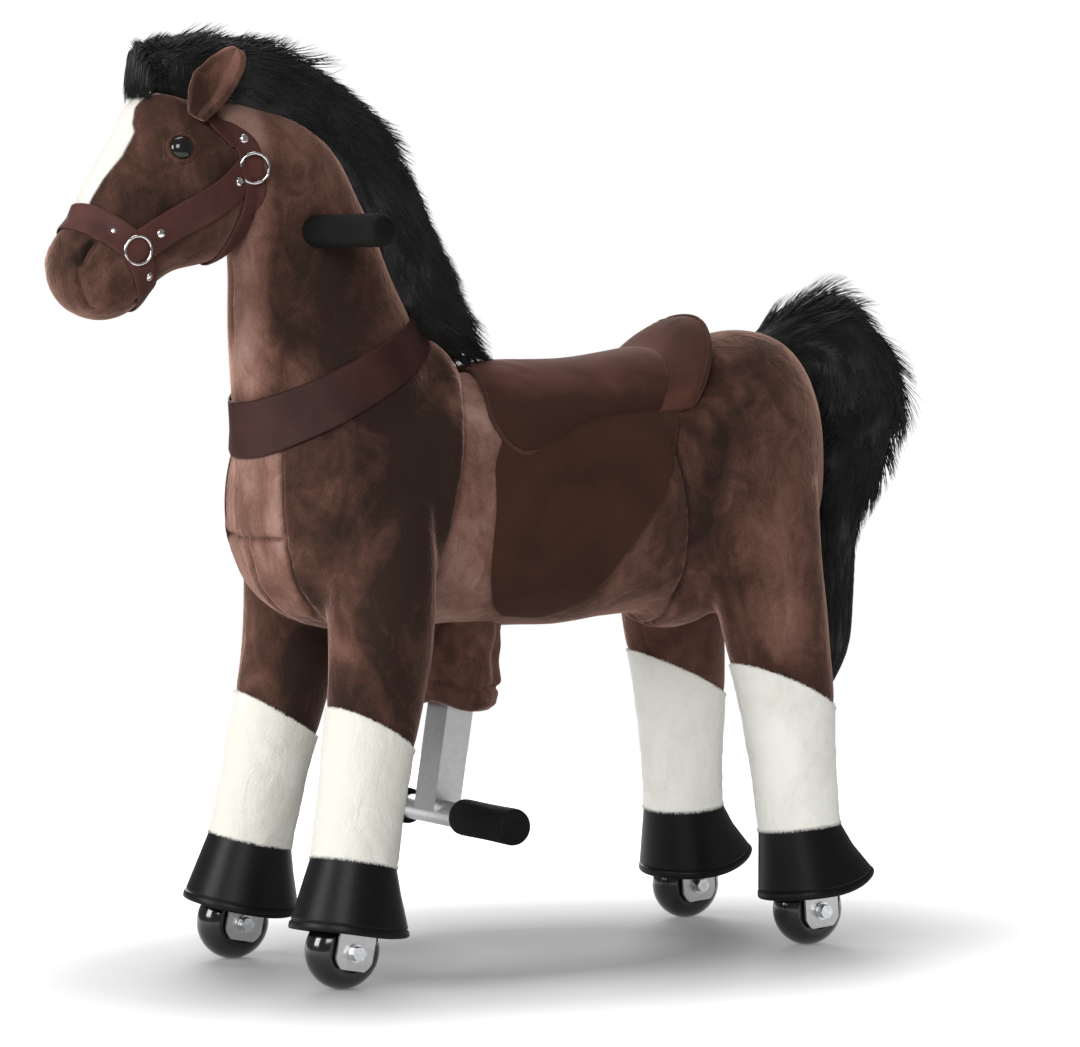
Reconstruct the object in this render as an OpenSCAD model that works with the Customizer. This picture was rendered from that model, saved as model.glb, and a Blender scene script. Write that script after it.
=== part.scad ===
// Ride-on plush horse on four castor-like wheels.
// +X is the way the horse faces, +Y its left, +Z up. Millimetres.
// The origin lies on the floor under the middle of the horse.

/* [Stance] */
// Front axle, ahead of the middle
front_axle_x = 256; // [240:1:272]
// Rear axle, behind the middle
rear_axle_x = 292; // [276:1:308]
// Left wheel to right wheel
track = 228; // [220:1:240]
// Front legs lean forward at the foot, degrees
front_lean = 11.3; // [9:0.1:13]
// Front feet stand out to the sides, degrees
front_splay = 4.7; // [3:0.1:6]
// Rear legs lean backward at the foot, degrees
rear_lean = 4.7; // [3:0.1:6]
// Rear feet stand out to the sides, degrees
rear_splay = 3.6; // [2:0.1:5]

/* [Wheels] */
// Outer diameter of a wheel
wheel_d = 76; // [70:1:80]
// Width of the tyre
tyre_w = 42; // [38:1:46]
// Diameter of the wheel core under the tyre
core_d = 40; // [34:1:46]
// Width of the wheel core
core_w = 36; // [32:1:38]
// Bearing outside diameter
bearing_d = 22; // [19:1:26]
// Bearing width
bearing_w = 7; // [5:1:9]
// Axle bolt diameter
axle_d = 8; // [6:1:10]
// Radial play of the bearing on the axle
axle_play = 0.03; // [0.01:0.01:0.1]

/* [Wheel brackets] */
// Sheet thickness
bracket_t = 3; // [2:0.5:4]
// Front to back length of the plates
bracket_len = 40; // [34:1:46]
// Tyre side to plate
bracket_side_gap = 3; // [2:0.5:5]
// Tyre top to bridge
bracket_top_gap = 8; // [5:1:12]
// Plate edge below the axle
bracket_drop = 17; // [14:1:20]
// Hex size of the axle nut, across corners
nut_d = 15; // [13:0.5:18]
// Height of the axle nut
nut_h = 7; // [5:0.5:9]

/* [Frame] */
// Leg tube diameter
tube_d = 25; // [20:1:28]
// Tube wall
tube_wall = 2; // [1.5:0.5:3]
// Height of the hip tube
hip_z = 500; // [485:1:512]
// Height of the fork crown
crown_z = 432; // [424:1:438]
// Height and width of the crown bar
crown_size = 40; // [32:1:44]
// Backbone width
backbone_w = 48; // [44:1:52]
// Backbone height
backbone_h = 34; // [28:1:40]
// Thickness of the pivot ears
ear_t = 5; // [4:0.5:7]
// Thickness of the seat board
board_t = 12; // [9:1:14]

/* [Gallop pivot] */
// Pivot ahead of the middle
pivot_x = 24; // [16:1:32]
// Pivot height
pivot_z = 530; // [524:1:534]
// Pivot pin diameter
pivot_d = 12; // [10:1:14]
// Radial play of the pivot sleeve
pivot_play = 0.05; // [0.02:0.01:0.1]
// Lean of the pedal post, forward at the foot, degrees
post_lean = 9; // [7:0.5:11]
// Post size along the horse
post_l = 30; // [26:1:34]
// Post size across the horse
post_w = 40; // [34:1:42]
// Height of the pedal bar
pedal_z = 150; // [140:1:165]
// Diameter of the pedal bar
pedal_bar_d = 25; // [22:1:28]
// Diameter of the pedal grips
pedal_grip_d = 36; // [32:1:40]
// Pedal grip, from the post side to the tip
pedal_grip_l = 100; // [90:1:120]
// Inner end of the pedal grips from the middle
pedal_grip_y = 55; // [45:1:65]
// Mean diameter of the return spring
spring_d = 20; // [18:1:24]
// Wire of the return spring
spring_wire = 3; // [2:0.5:4]
// Turns of the return spring
spring_turns = 9; // [8:1:12]

/* [Steering] */
// Steering axis ahead of the middle
steer_x = 165; // [160:1:170]
// Kingpin diameter
kingpin_d = 20; // [16:1:22]
// Radial play of the kingpin in its bushes
kingpin_play = 0.05; // [0.02:0.01:0.1]
// Wall of the steering bushes
bush_wall = 4; // [3:0.5:5]
// Outside diameter of the head tube
head_tube_d = 40; // [38:1:44]
// Length of the head tube
head_tube_l = 70; // [60:1:72]
// Handlebar ahead of the middle
bar_x = 248; // [240:1:254]
// Handlebar height
bar_z = 732; // [722:1:742]
// Handlebar diameter
bar_d = 22; // [18:1:24]
// Diameter of the handle grips
grip_d = 32; // [28:1:36]
// Grip tip from the middle
grip_tip_y = 186; // [170:1:200]
// Inner end of the grips from the middle
grip_root_y = 60; // [58:1:70]
// Play of sleeves and clamps that are pushed on
push_fit = 0.05; // [0.02:0.01:0.1]

/* [Plush body] */
// Height of the back under the saddle
back_z = 592; // [582:1:602]
// Height of the belly
belly_z = 336; // [328:1:344]
// Height of the rump
rump_z = 632; // [622:1:642]
// Half width of the barrel
barrel_y = 122; // [114:1:126]
// Half width of the rump
rump_y = 129; // [122:1:134]
// Rear end of the rump from the middle
rump_end_x = 368; // [360:1:376]
// Where the rump cover is sewn to the barrel
rump_seam_x = 150; // [140:1:160]
// Half width of the chest
chest_y = 121; // [114:1:126]
// Front of the chest
chest_front_x = 300; // [292:1:308]
// Rear face of the chest, behind the steering axis
chest_back = 15; // [14:1:18]
// Half width of the neck at the handles
neck_y = 56; // [50:1:57]
// Half width of the head
head_y = 54; // [48:1:58]
// Diameter of the muzzle
muzzle_d = 102; // [96:1:106]
// Radius of the stockings at the hoof
ankle_r = 42; // [38:1:43]
// Gap between pieces of plush that are sewn together
plush_gap = 0.3; // [0.2:0.1:0.5]
// Gap under cloth and straps that lie on the plush
cloth_gap = 0.8; // [0.6:0.1:1]

/* [Hooves] */
// Height of the top of the hoof above the axle, along the leg
hoof_top = 82; // [76:1:90]
// Height of the rim above the axle, along the leg
hoof_rim = 15; // [12:1:20]
// Front hoof heel behind the leg
front_heel = 62; // [58:1:70]
// Rear hoof heel behind the leg
rear_heel = 78; // [66:1:84]
// Toe ahead of the leg
hoof_toe = 54; // [52:1:58]
// Wall of the moulded hoof
hoof_wall = 3; // [2:0.5:4]

/* [Tack] */
// Thickness of the saddle seat
seat_t = 13; // [9:1:18]
// Thickness of the saddle flaps
flap_t = 5; // [3:0.5:7]
// Height of the cantle
cantle_h = 32; // [24:1:38]
// Width of the halter straps
strap_w = 20; // [16:1:24]
// Width of the breast collar
collar_w = 46; // [38:1:50]
// Thickness of straps and collar
strap_t = 2.5; // [2:0.5:4]
// Outside diameter of the halter rings
ring_d = 30; // [24:1:34]
// Wire of the halter rings
ring_wire = 4; // [3:0.5:5]
// Diameter of the eyes
eye_d = 20; // [16:1:24]

/* [Hidden] */

$fn = 48;
plush_brown = "#5d3d33";
plush_cream = "#ece6da";
hair_black = "#1d1a19";
saddle_brown = "#6b3a33";
leather_brown = "#7a4a3f";
vinyl_black = "#17171a";
zinc = "#c9ccd0";

axle_z = wheel_d / 2;
plate_y = tyre_w / 2 + bracket_side_gap;
bridge_z = wheel_d / 2 + bracket_top_gap;
bridge_top = bridge_z + bracket_t;
tube_r = tube_d / 2;
// Clear cuts reach this far past what they cut
past = 60;
// Space kept round the inner frame
frame_gap = 1;
bush_r = kingpin_d / 2 + bush_wall;
flange_t = 3;
head_tube_bottom = crown_z + crown_size / 2 + flange_t + 3;
head_tube_top = head_tube_bottom + head_tube_l;
collar_bottom = head_tube_top + flange_t + plush_gap;
collar_h = 28;
collar_r = kingpin_d / 2 + 10;
stem_r = 14;
clamp_r = bar_d / 2 + 7;
clamp_w = 50;
arm_w = 36;
arm_h = 40;
arm_z = head_tube_bottom + head_tube_l / 2;
sleeve_r = pivot_d / 2 + 7;
sleeve_l = backbone_w - 2;
backbone_front_x = pivot_x - sleeve_r - 8;
board_bottom = pivot_z + backbone_h / 2;
chest_back_x = steer_x - chest_back;
spring_front = [pivot_x - 7, pivot_z - 104];
spring_rear = [pivot_x - 124, pivot_z - 48];
plug_r = spring_d / 2 * cos(22.5) - spring_wire / 2 - 0.4;
plug_l = 16;
// How far the spring plugs reach into what carries them
plug_root = 10;

function lean(end) = end == "front" ? front_lean : -rear_lean;
function splay(end) = end == "front" ? front_splay : rear_splay;
function axle_x(end) = end == "front" ? front_axle_x : -rear_axle_x;

// Length along a leg from its axle up to a height
function leg_reach(end, z) = (z - axle_z) / (cos(lean(end)) * cos(splay(end)));

// Point on the left leg's axis at a height
function leg_point(end, z) = let (k = leg_reach(end, z)) [
    axle_x(end) - sin(lean(end)) * cos(splay(end)) * k,
    track / 2 - sin(splay(end)) * k,
    z];

// A plush form is a row of oval sections along a spine in the middle plane:
// [x, z, spine angle, half height above, half height below, half width]
trunk_mid = (back_z + belly_z) / 2;
rump_mid = trunk_mid + 24;
trunk_rows = [
    [-rump_end_x, rump_mid + 10, 0, 14, 16, 14],
    [-rump_end_x + 15, rump_mid + 10, 0, 82, 98, 80],
    [-rump_end_x + 46, rump_mid + 4, 0, rump_z - rump_mid - 14, 130, rump_y - 14],
    [-rump_end_x + 96, rump_mid, 0, rump_z - rump_mid, rump_mid - belly_z - 4, rump_y],
    [-rump_seam_x - 50, trunk_mid + 16, 0, rump_z - trunk_mid - 33, trunk_mid - belly_z + 14, rump_y - 3],
    [-rump_seam_x, trunk_mid + 8, 0, back_z - trunk_mid - 2, trunk_mid - belly_z, barrel_y - 1],
    [-60, trunk_mid, 0, back_z - trunk_mid, trunk_mid - belly_z, barrel_y],
    [20, trunk_mid, 0, back_z - trunk_mid, trunk_mid - belly_z, barrel_y - 4],
    [75, trunk_mid + 2, 0, back_z - trunk_mid - 6, trunk_mid - belly_z - 6, barrel_y - 12],
    [chest_back_x - 45, trunk_mid + 2, 0, 98, 100, barrel_y - 32],
    [chest_back_x - 28, trunk_mid + 2, 0, 66, 68, barrel_y - 64],
    [chest_back_x - 19, trunk_mid + 2, 0, 22, 24, 20]];
seam_row = 5;

chest_mid = trunk_mid + 3;
chest_rows = [
    [chest_back_x, chest_mid, 0, 124, 128, chest_y - 4],
    [chest_front_x - 115, chest_mid, 0, 126, 130, chest_y],
    [chest_front_x - 70, chest_mid, 0, 118, 122, chest_y - 4],
    [chest_front_x - 32, chest_mid, 0, 96, 102, chest_y - 26],
    [chest_front_x - 10, chest_mid, 0, 64, 70, chest_y - 59],
    [chest_front_x, chest_mid, 0, 20, 24, 20]];

neck_rows = [
    [chest_front_x - 95, chest_mid + 78, 62, 112, 110, neck_y + 40],
    [chest_front_x - 91, chest_mid + 125, 62, 100, 108, neck_y + 27],
    [chest_front_x - 76, bar_z - 70, 72, 86, 94, neck_y + 8],
    [bar_x - 10, bar_z - 4, 64, 70, 84, neck_y],
    [bar_x + 16, bar_z + 50, 40, 60, 76, neck_y - 4],
    [bar_x + 52, bar_z + 68, 10, 46, 56, neck_y - 12]];
collar_row = 1;

head_rows = [
    [bar_x + 58, bar_z + 68, -27, 34, 30, 24],
    [bar_x + 77, bar_z + 61, -27, 72, 62, head_y - 10],
    [bar_x + 120, bar_z + 43, -27, 94, 78, head_y],
    [bar_x + 162, bar_z + 18, -25, 73, 64, head_y - 5],
    [bar_x + 196, bar_z - 18, -28, 59, 51, head_y - 6],
    [bar_x + 210, bar_z - 32, -30, 42, 40, head_y - 20]];
nose_row = 4;
poll_row = 1;
muzzle_at = [bar_x + 209, 0, bar_z - 35];
// Stations of the halter's bands and cheek straps along the head
noseband = [nose_row - 0.3, nose_row + 0.22];
crown_strap = [poll_row + 0.1, poll_row + 0.6];
cheek_first = poll_row + 0.62;
cheek_last = nose_row - 0.32;

mane_rows = [
    [84, 630, 72, 10, 10, 10],
    [98, 668, 70, 24, 34, 24],
    [124, 735, 62, 27, 40, 27],
    [168, 800, 50, 28, 42, 28],
    [224, 854, 36, 26, 46, 29],
    [290, 888, 14, 27, 60, 29],
    [352, 894, -6, 27, 58, 23],
    [398, 878, -24, 22, 26, 22],
    [420, 862, -40, 8, 8, 9]];

// Cover of the shoulders, from the chest back over the front of the barrel
cover_rows = [
    [chest_back_x - 62, chest_mid + 3, 0, back_z + 16 - chest_mid - 3, 124, chest_y - 3],
    [chest_back_x - 32, chest_mid + 2, 0, back_z + 16 - chest_mid - 2, 126, chest_y - 1],
    [chest_back_x - plush_gap, chest_mid, 0, back_z + 12 - chest_mid, 128, chest_y - 2]];
cover_t = 7;
// Its rear edge: where it crosses the middle of the barrel, and its slope
cover_edge = [chest_back_x - 30, 12];

tail_rows = [
    [-rump_end_x + 62, rump_z - 20, 160, 18, 18, 18],
    [-rump_end_x + 20, rump_z - 4, 175, 32, 34, 30],
    [-rump_end_x - 32, rump_z - 10, 205, 46, 54, 42],
    [-rump_end_x - 80, rump_z - 72, 248, 50, 60, 52],
    [-rump_end_x - 76, rump_z - 138, 280, 38, 42, 44],
    [-rump_end_x - 54, rump_z - 206, 284, 26, 22, 30],
    [-rump_end_x - 46, rump_z - 272, 275, 18, 18, 20],
    [-rump_end_x - 43, rump_z - 332, 272, 14, 14, 15],
    [-rump_end_x - 41, rump_z - 374, 272, 5, 5, 6]];

ear_rows = [
    [bar_x + 122, bar_z + 84, 98, 13, 13, 12],
    [bar_x + 113, bar_z + 130, 100, 18, 18, 14],
    [bar_x + 102, bar_z + 156, 104, 17, 17, 12],
    [bar_x + 89, bar_z + 176, 108, 5, 5, 5]];
ear_y = 42;

// Legs: height along the leg, then half lengths to the rear and the front, and half width
front_leg_rows = [
    [0, hoof_top, 90, ankle_r, ankle_r, ankle_r],
    [0, 170, 90, ankle_r + 1, ankle_r + 2, ankle_r],
    [0, 240, 90, ankle_r + 6, ankle_r + 5, ankle_r + 3],
    [0, 310, 90, ankle_r + 8, ankle_r + 14, ankle_r + 10],
    [0, 380, 90, ankle_r - 6, ankle_r + 26, ankle_r + 18],
    [0, 440, 90, ankle_r - 18, ankle_r + 14, ankle_r + 10]];
rear_leg_rows = [
    [0, hoof_top, 90, ankle_r, ankle_r, ankle_r],
    [0, 150, 90, ankle_r + 3, ankle_r + 2, ankle_r],
    [0, 225, 90, ankle_r + 12, ankle_r + 10, ankle_r + 2],
    [0, 300, 90, ankle_r + 22, ankle_r + 22, ankle_r + 8],
    [0, 370, 90, ankle_r + 30, ankle_r + 32, ankle_r + 12],
    [0, 440, 90, ankle_r + 30, ankle_r + 34, ankle_r + 10]];
// The stocking seam: its height on the leg's axis and its slope, higher in front
front_seam = [214, 15];
rear_seam = [232, 26];

// Catmull-Rom value of a table of rows at a station
function row_at(rows, s) = let (
    n = len(rows),
    i = min(floor(s), n - 2),
    t = s - i,
    a = rows[max(i - 1, 0)],
    b = rows[i],
    c = rows[i + 1],
    d = rows[min(i + 2, n - 1)])
    (2 * b + (c - a) * t + (2 * a - 5 * b + 4 * c - d) * t * t
        + (3 * b - a - 3 * c + d) * t * t * t) / 2;

// Point of a section: angle 0 is left, 90 above, lifted off the surface
function skin_point(row, angle, lift) = let (
    s = sin(angle),
    h = (s >= 0 ? row[3] : row[4]) + lift)
    [row[0] - sin(row[2]) * h * s, (row[5] + lift) * cos(angle), row[1] + cos(row[2]) * h * s];

function skin_ring(row, sides, lift) = [for (k = [0:sides - 1]) skin_point(row, 360 * k / sides, lift)];

function joined(lists) = [for (list = lists) for (item = list) item];

// Triangles between rings that follow each other, wrapping round each ring
function ring_faces(count, sides) = [
    for (i = [0:count - 2], k = [0:sides - 1]) let (
        a = i * sides + k,
        b = i * sides + (k + 1) % sides)
        each [[a, a + sides, b + sides], [a, b + sides, b]]];

function fan(first, sides, turned) = [
    for (k = [1:sides - 2]) turned
        ? [first, first + k + 1, first + k]
        : [first, first + k, first + k + 1]];

// Closed skin through rings
module skin(rings) {
    sides = len(rings[0]);
    count = len(rings);
    polyhedron(joined(rings), concat(
        ring_faces(count, sides),
        fan(0, sides, false),
        fan((count - 1) * sides, sides, true)));
}

// Smooth form through a table of rows, from one row to another
module loft(rows, sides = 20, steps = 2, first = 0, last = -1, lift = 0) {
    end = last < 0 ? len(rows) - 1 : last;
    skin([for (k = [0:(end - first) * steps]) skin_ring(row_at(rows, first + k / steps), sides, lift)]);
}

// Sheet of cloth between an inner and an outer grid of points
module sheet(inner, outer) {
    rows = len(outer);
    cols = len(outer[0]);
    under = rows * cols;
    polyhedron(joined(concat(outer, inner)), concat(
        [for (i = [0:rows - 2], j = [0:cols - 2]) let (
            a = i * cols + j, b = a + 1, c = a + cols + 1, d = a + cols)
            each [[a, d, c], [a, c, b], [a + under, c + under, d + under], [a + under, b + under, c + under]]],
        [for (i = [0:rows - 2]) let (a = i * cols, d = a + cols, b = a + cols - 1, c = b + cols)
            each [[d, a, a + under], [d, a + under, d + under], [b, c, c + under], [b, c + under, b + under]]],
        [for (j = [0:cols - 2]) let (a = j, b = j + 1, d = (rows - 1) * cols + j, c = d + 1)
            each [[a, b, b + under], [a, b + under, a + under], [c, d, d + under], [c, d + under, c + under]]]));
}

// Flat band right round a form, between two stations
module band(rows, first, last, lift, thick, sides = 22) {
    stations = [first, (first + last) / 2, last];
    rings = concat(
        [for (s = stations) skin_ring(row_at(rows, s), sides, lift + thick)],
        [for (i = [2:-1:0]) skin_ring(row_at(rows, stations[i]), sides, lift)]);
    count = len(rings);
    total = count * sides;
    polyhedron(joined(rings), [
        for (i = [0:count - 1], k = [0:sides - 1]) let (
            a = i * sides + k,
            b = i * sides + (k + 1) % sides)
            each [[a, (a + sides) % total, (b + sides) % total], [a, (b + sides) % total, b]]]);
}

function unit(v) = v / norm(v);

// Round tube along points, its sides set out from a reference direction
module cord(points, radii, sides, reference) {
    last = len(points) - 1;
    skin([for (i = [0:last]) let (
        along = unit(points[min(i + 1, last)] - points[max(i - 1, 0)]),
        across = unit(cross(reference, along)),
        up = cross(along, across))
        [for (k = [0:sides - 1]) points[i]
            + radii[i] * (across * cos(360 * k / sides) + up * sin(360 * k / sides))]]);
}

// Solid of revolution about Y with a rounded tip, from the origin along +Y
module rounded_grip(radius, length, round) {
    rotate([-90, 0, 0]) rotate_extrude() intersection() {
        square([radius, length]);
        union() {
            square([radius - round, length]);
            square([radius, length - round]);
            translate([radius - round, length - round]) circle(round);
        }
    }
}

module rod(radius, length) rotate([90, 0, 0]) cylinder(r = radius, h = length, center = true);

module both_sides() {
    children();
    mirror([0, 1, 0]) children();
}

module on_side(side) mirror([0, side == "right" ? 1 : 0, 0]) children();

// Places: the wheel's axle, the bracket that leans with the leg, and the splayed leg
module at_wheel(end) translate([axle_x(end), track / 2, axle_z]) children();
module at_bracket(end) at_wheel(end) rotate([0, -lean(end), 0]) children();
module at_leg(end) at_bracket(end) rotate([splay(end), 0, 0]) children();
module at_post() translate([pivot_x, 0, pivot_z]) rotate([0, -post_lean, 0]) children();

// Wheels
module tyre() {
    crown_r = 24;
    rotate([90, 0, 0]) rotate_extrude() intersection() {
        translate([wheel_d / 2 - crown_r, 0]) circle(crown_r);
        translate([core_d / 2, -tyre_w / 2]) square([wheel_d / 2, tyre_w]);
    }
}

module hub() {
    seat_y = core_w / 2 - bearing_w;
    difference() {
        rod(core_d / 2, core_w);
        rod(bearing_d / 2 - 2, core_w + 1);
        both_sides() translate([0, core_w / 2, 0]) rod(bearing_d / 2, 2 * bearing_w);
        // Ring of lightening holes round the bearing seat
        for (a = [0:60:300]) rotate([0, a, 0]) both_sides()
            translate([0, seat_y + bearing_w, (core_d + bearing_d) / 4]) rod(1.6, 12);
    }
}

module bearings() {
    both_sides() translate([0, (core_w - bearing_w) / 2, 0]) difference() {
        rod(bearing_d / 2, bearing_w);
        rod(axle_d / 2 + axle_play, bearing_w + 1);
    }
}

module wheel_at(end, side) on_side(side) at_wheel(end) children();

module front_tyre_left() color(vinyl_black) wheel_at("front", "left") tyre();
module front_tyre_right() color(vinyl_black) wheel_at("front", "right") tyre();
module rear_tyre_left() color(vinyl_black) wheel_at("rear", "left") tyre();
module rear_tyre_right() color(vinyl_black) wheel_at("rear", "right") tyre();
module front_hub_left() color("#2b2b2e") wheel_at("front", "left") hub();
module front_hub_right() color("#2b2b2e") wheel_at("front", "right") hub();
module rear_hub_left() color("#2b2b2e") wheel_at("rear", "left") hub();
module rear_hub_right() color("#2b2b2e") wheel_at("rear", "right") hub();
module front_bearings_left() color(zinc) wheel_at("front", "left") bearings();
module front_bearings_right() color(zinc) wheel_at("front", "right") bearings();
module rear_bearings_left() color(zinc) wheel_at("rear", "left") bearings();
module rear_bearings_right() color(zinc) wheel_at("rear", "right") bearings();

// Bracket: two plates and a bridge bent from one sheet
module bracket() {
    trim_r = norm([bracket_len / 2, bracket_drop]) - 5;
    difference() {
        union() {
            both_sides() translate([0, plate_y + bracket_t, 0]) rotate([90, 0, 0])
                linear_extrude(bracket_t) union() {
                    translate([-bracket_len / 2, 0]) square([bracket_len, bridge_top]);
                    intersection() {
                        translate([-bracket_len / 2, -bracket_drop]) square([bracket_len, bracket_drop]);
                        circle(trim_r);
                    }
                }
            translate([-bracket_len / 2, -plate_y, bridge_z]) cube([bracket_len, 2 * plate_y, bracket_t]);
        }
        rod(axle_d / 2 + push_fit, 3 * plate_y);
    }
}

module front_wheel_bracket_left() color(zinc) at_bracket("front") bracket();
module front_wheel_bracket_right() color(zinc) on_side("right") at_bracket("front") bracket();
module rear_wheel_bracket_left() color(zinc) at_bracket("rear") bracket();
module rear_wheel_bracket_right() color(zinc) on_side("right") at_bracket("rear") bracket();

// Axle bolt with its head inside, a lock nut outside, and a spacer on each side of the hub
module axle_bolt() {
    out_y = plate_y + bracket_t;
    hex_y = out_y + nut_h / 2;
    washer_t = 1.5;
    rod(axle_d / 2, 2 * (out_y + washer_t + nut_h));
    translate([0, -hex_y - washer_t, 0]) rotate([90, 0, 0]) cylinder(d = nut_d, h = nut_h, center = true, $fn = 6);
    both_sides() translate([0, out_y + washer_t / 2, 0]) rod(nut_d / 2 + 1.5, washer_t);
    translate([0, hex_y + washer_t, 0]) rotate([90, 0, 0]) cylinder(d = nut_d, h = nut_h, center = true, $fn = 6);
    spacer_l = plate_y - core_w / 2 - plush_gap;
    both_sides() translate([0, plate_y - spacer_l / 2, 0]) rod(axle_d / 2 + 2, spacer_l);
}

module front_axle_bolts() color(zinc) both_sides() at_wheel("front") axle_bolt();
module rear_axle_bolts() color(zinc) both_sides() at_wheel("rear") axle_bolt();

// Leg tube in the bracket's frame, cut square to the bridge
module leg_tube(end, top_z) {
    reach = leg_reach(end, top_z);
    at_bracket(end) difference() {
        rotate([splay(end), 0, 0]) difference() {
            cylinder(r = tube_r, h = reach);
            translate([0, 0, -1]) cylinder(r = tube_r - tube_wall, h = reach - tube_d);
        }
        translate([-past, -past, bridge_top - 2 * past]) cube(2 * past);
    }
}

// Room for a leg tube inside plush
module leg_bore(end, top_z) at_leg(end)
    cylinder(r = tube_r + plush_gap, h = leg_reach(end, top_z) + plush_gap);

module rear_frame() {
    hip = leg_point("rear", hip_z);
    spine_l = backbone_front_x - hip[0] + tube_r + 8;
    lug_t = 6;
    color(zinc) difference() {
        union() {
            both_sides() leg_tube("rear", hip_z);
            translate([hip[0], 0, hip_z]) rod(tube_r + 2, 2 * hip[1]);
            // Backbone from the hip tube to the pivot ears
            translate([backbone_front_x - spine_l, -backbone_w / 2, pivot_z - backbone_h / 2])
                cube([spine_l, backbone_w, backbone_h]);
            // Saddle plates that tie the backbone down to the hip tube
            both_sides() translate([hip[0] - tube_r - 2, backbone_w / 2 - ear_t, hip_z])
                cube([2 * tube_r + 4, ear_t, pivot_z - hip_z]);
            both_sides() translate([0, backbone_w / 2 + ear_t / 2, 0]) {
                translate([pivot_x, 0, pivot_z]) rod(backbone_h / 2, ear_t);
                translate([backbone_front_x - 40, -ear_t / 2, pivot_z - backbone_h / 2])
                    cube([pivot_x - backbone_front_x + 40, ear_t, backbone_h]);
            }
            translate([spring_rear[0] - 22, -lug_t / 2, spring_rear[1] - 8])
                cube([16, lug_t, pivot_z - backbone_h / 2 - spring_rear[1] + 9]);
            on_spring(spring_length() - plug_l) cylinder(r = plug_r, h = plug_l + plug_root);
        }
        translate([pivot_x, 0, pivot_z]) rod(pivot_d / 2, backbone_w + 4 * ear_t);
        // Hollow of the backbone, closed at its ends
        translate([backbone_front_x - spine_l + tube_d + 20, -backbone_w / 2 + tube_wall,
            pivot_z - backbone_h / 2 + tube_wall])
            cube([spine_l - tube_d - 22, backbone_w - 2 * tube_wall, backbone_h - 2 * tube_wall]);
    }
}

module rear_frame_room() {
    hip = leg_point("rear", hip_z);
    // Room for the backbone, its saddle plates and the hip tube inside the rump
    translate([hip[0] - tube_r - 10, -backbone_w / 2 - frame_gap, hip_z - tube_r - 4])
        cube([past - hip[0], backbone_w + 2 * frame_gap, pivot_z + backbone_h / 2 - hip_z + tube_r + 4 + frame_gap]);
    translate([hip[0], 0, hip_z]) rod(tube_r + 2 + frame_gap, 2 * hip[1] + 2 * tube_d);
    both_sides() leg_bore("rear", hip_z);
}

module seat_board() {
    board_l = 150;
    board_w = 130;
    corner = 18;
    color("#b98d5a") translate([backbone_front_x - board_l, 0, board_bottom]) linear_extrude(board_t)
        union() {
            translate([corner, -board_w / 2]) square([board_l - 2 * corner, board_w]);
            translate([0, corner - board_w / 2]) square([board_l, board_w - 2 * corner]);
            for (x = [corner, board_l - corner], y = [-1, 1])
                translate([x, y * (board_w / 2 - corner)]) circle(corner);
        }
}

module gallop_pin() {
    head_y = backbone_w / 2 + ear_t;
    color(zinc) translate([pivot_x, 0, pivot_z]) {
        rod(pivot_d / 2, 2 * head_y);
        both_sides() translate([0, head_y + 3, 0]) rotate([90, 0, 0])
            cylinder(d = 1.7 * pivot_d, h = 6, center = true, $fn = 6);
    }
}

function spring_length() = norm([spring_front[0] - spring_rear[0], spring_front[1] - spring_rear[1]]);

// Along the spring's axis from its front end
module on_spring(distance) {
    tilt = atan2(spring_rear[1] - spring_front[1], spring_front[0] - spring_rear[0]);
    translate([spring_front[0], 0, spring_front[1]]) rotate([0, tilt - 90, 0])
        translate([0, 0, distance]) children();
}

module return_spring() {
    rings = spring_turns * 8;
    wire_r = spring_wire / 2;
    coil_l = spring_length() - 2 * wire_r - 2;
    points = [for (i = [0:rings]) let (a = 45 * i)
        [cos(a) * spring_d / 2, sin(a) * spring_d / 2, wire_r + 1 + coil_l * i / rings]];
    turn_gap = coil_l / spring_turns - spring_wire;
    echo(least_gap_between_turns = turn_gap);
    color("#8d9298") on_spring(0) cord(points, [for (i = [0:rings]) wire_r], 5, [0, 0, 1]);
}

// Pedal frame: pivot sleeve, leaning post, cross bar and the arm that holds the head tube
module pedal_frame() {
    post_drop = (pivot_z - pedal_z) / cos(post_lean);
    color(zinc) difference() {
        union() {
            translate([pivot_x, 0, pivot_z]) rod(sleeve_r, sleeve_l);
            at_post() difference() {
                translate([-post_l / 2, -post_w / 2, -post_drop]) cube([post_l, post_w, post_drop]);
                translate([-post_l / 2 + tube_wall, -post_w / 2 + tube_wall, -post_drop - 1])
                    cube([post_l - 2 * tube_wall, post_w - 2 * tube_wall, post_drop - sleeve_r]);
            }
            at_post() translate([0, 0, -post_drop]) rod(pedal_bar_d / 2, 2 * (pedal_grip_y + pedal_grip_l - 5));
            translate([pivot_x + 8, -arm_w / 2, arm_z - arm_h / 2])
                cube([steer_x - pivot_x - 8, arm_w, arm_h]);
            translate([steer_x, 0, head_tube_bottom]) cylinder(r = head_tube_d / 2, h = head_tube_l);
            on_spring(-plug_root) cylinder(r = plug_r, h = plug_l + plug_root);
        }
        translate([pivot_x, 0, pivot_z]) rod(pivot_d / 2 + pivot_play, sleeve_l + 1);
        translate([steer_x, 0, head_tube_bottom - 1]) cylinder(r = bush_r, h = head_tube_l + 2);
        at_post() translate([0, 0, -post_drop]) rod(pedal_bar_d / 2 - tube_wall, 4 * pedal_grip_l);
    }
}

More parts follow.
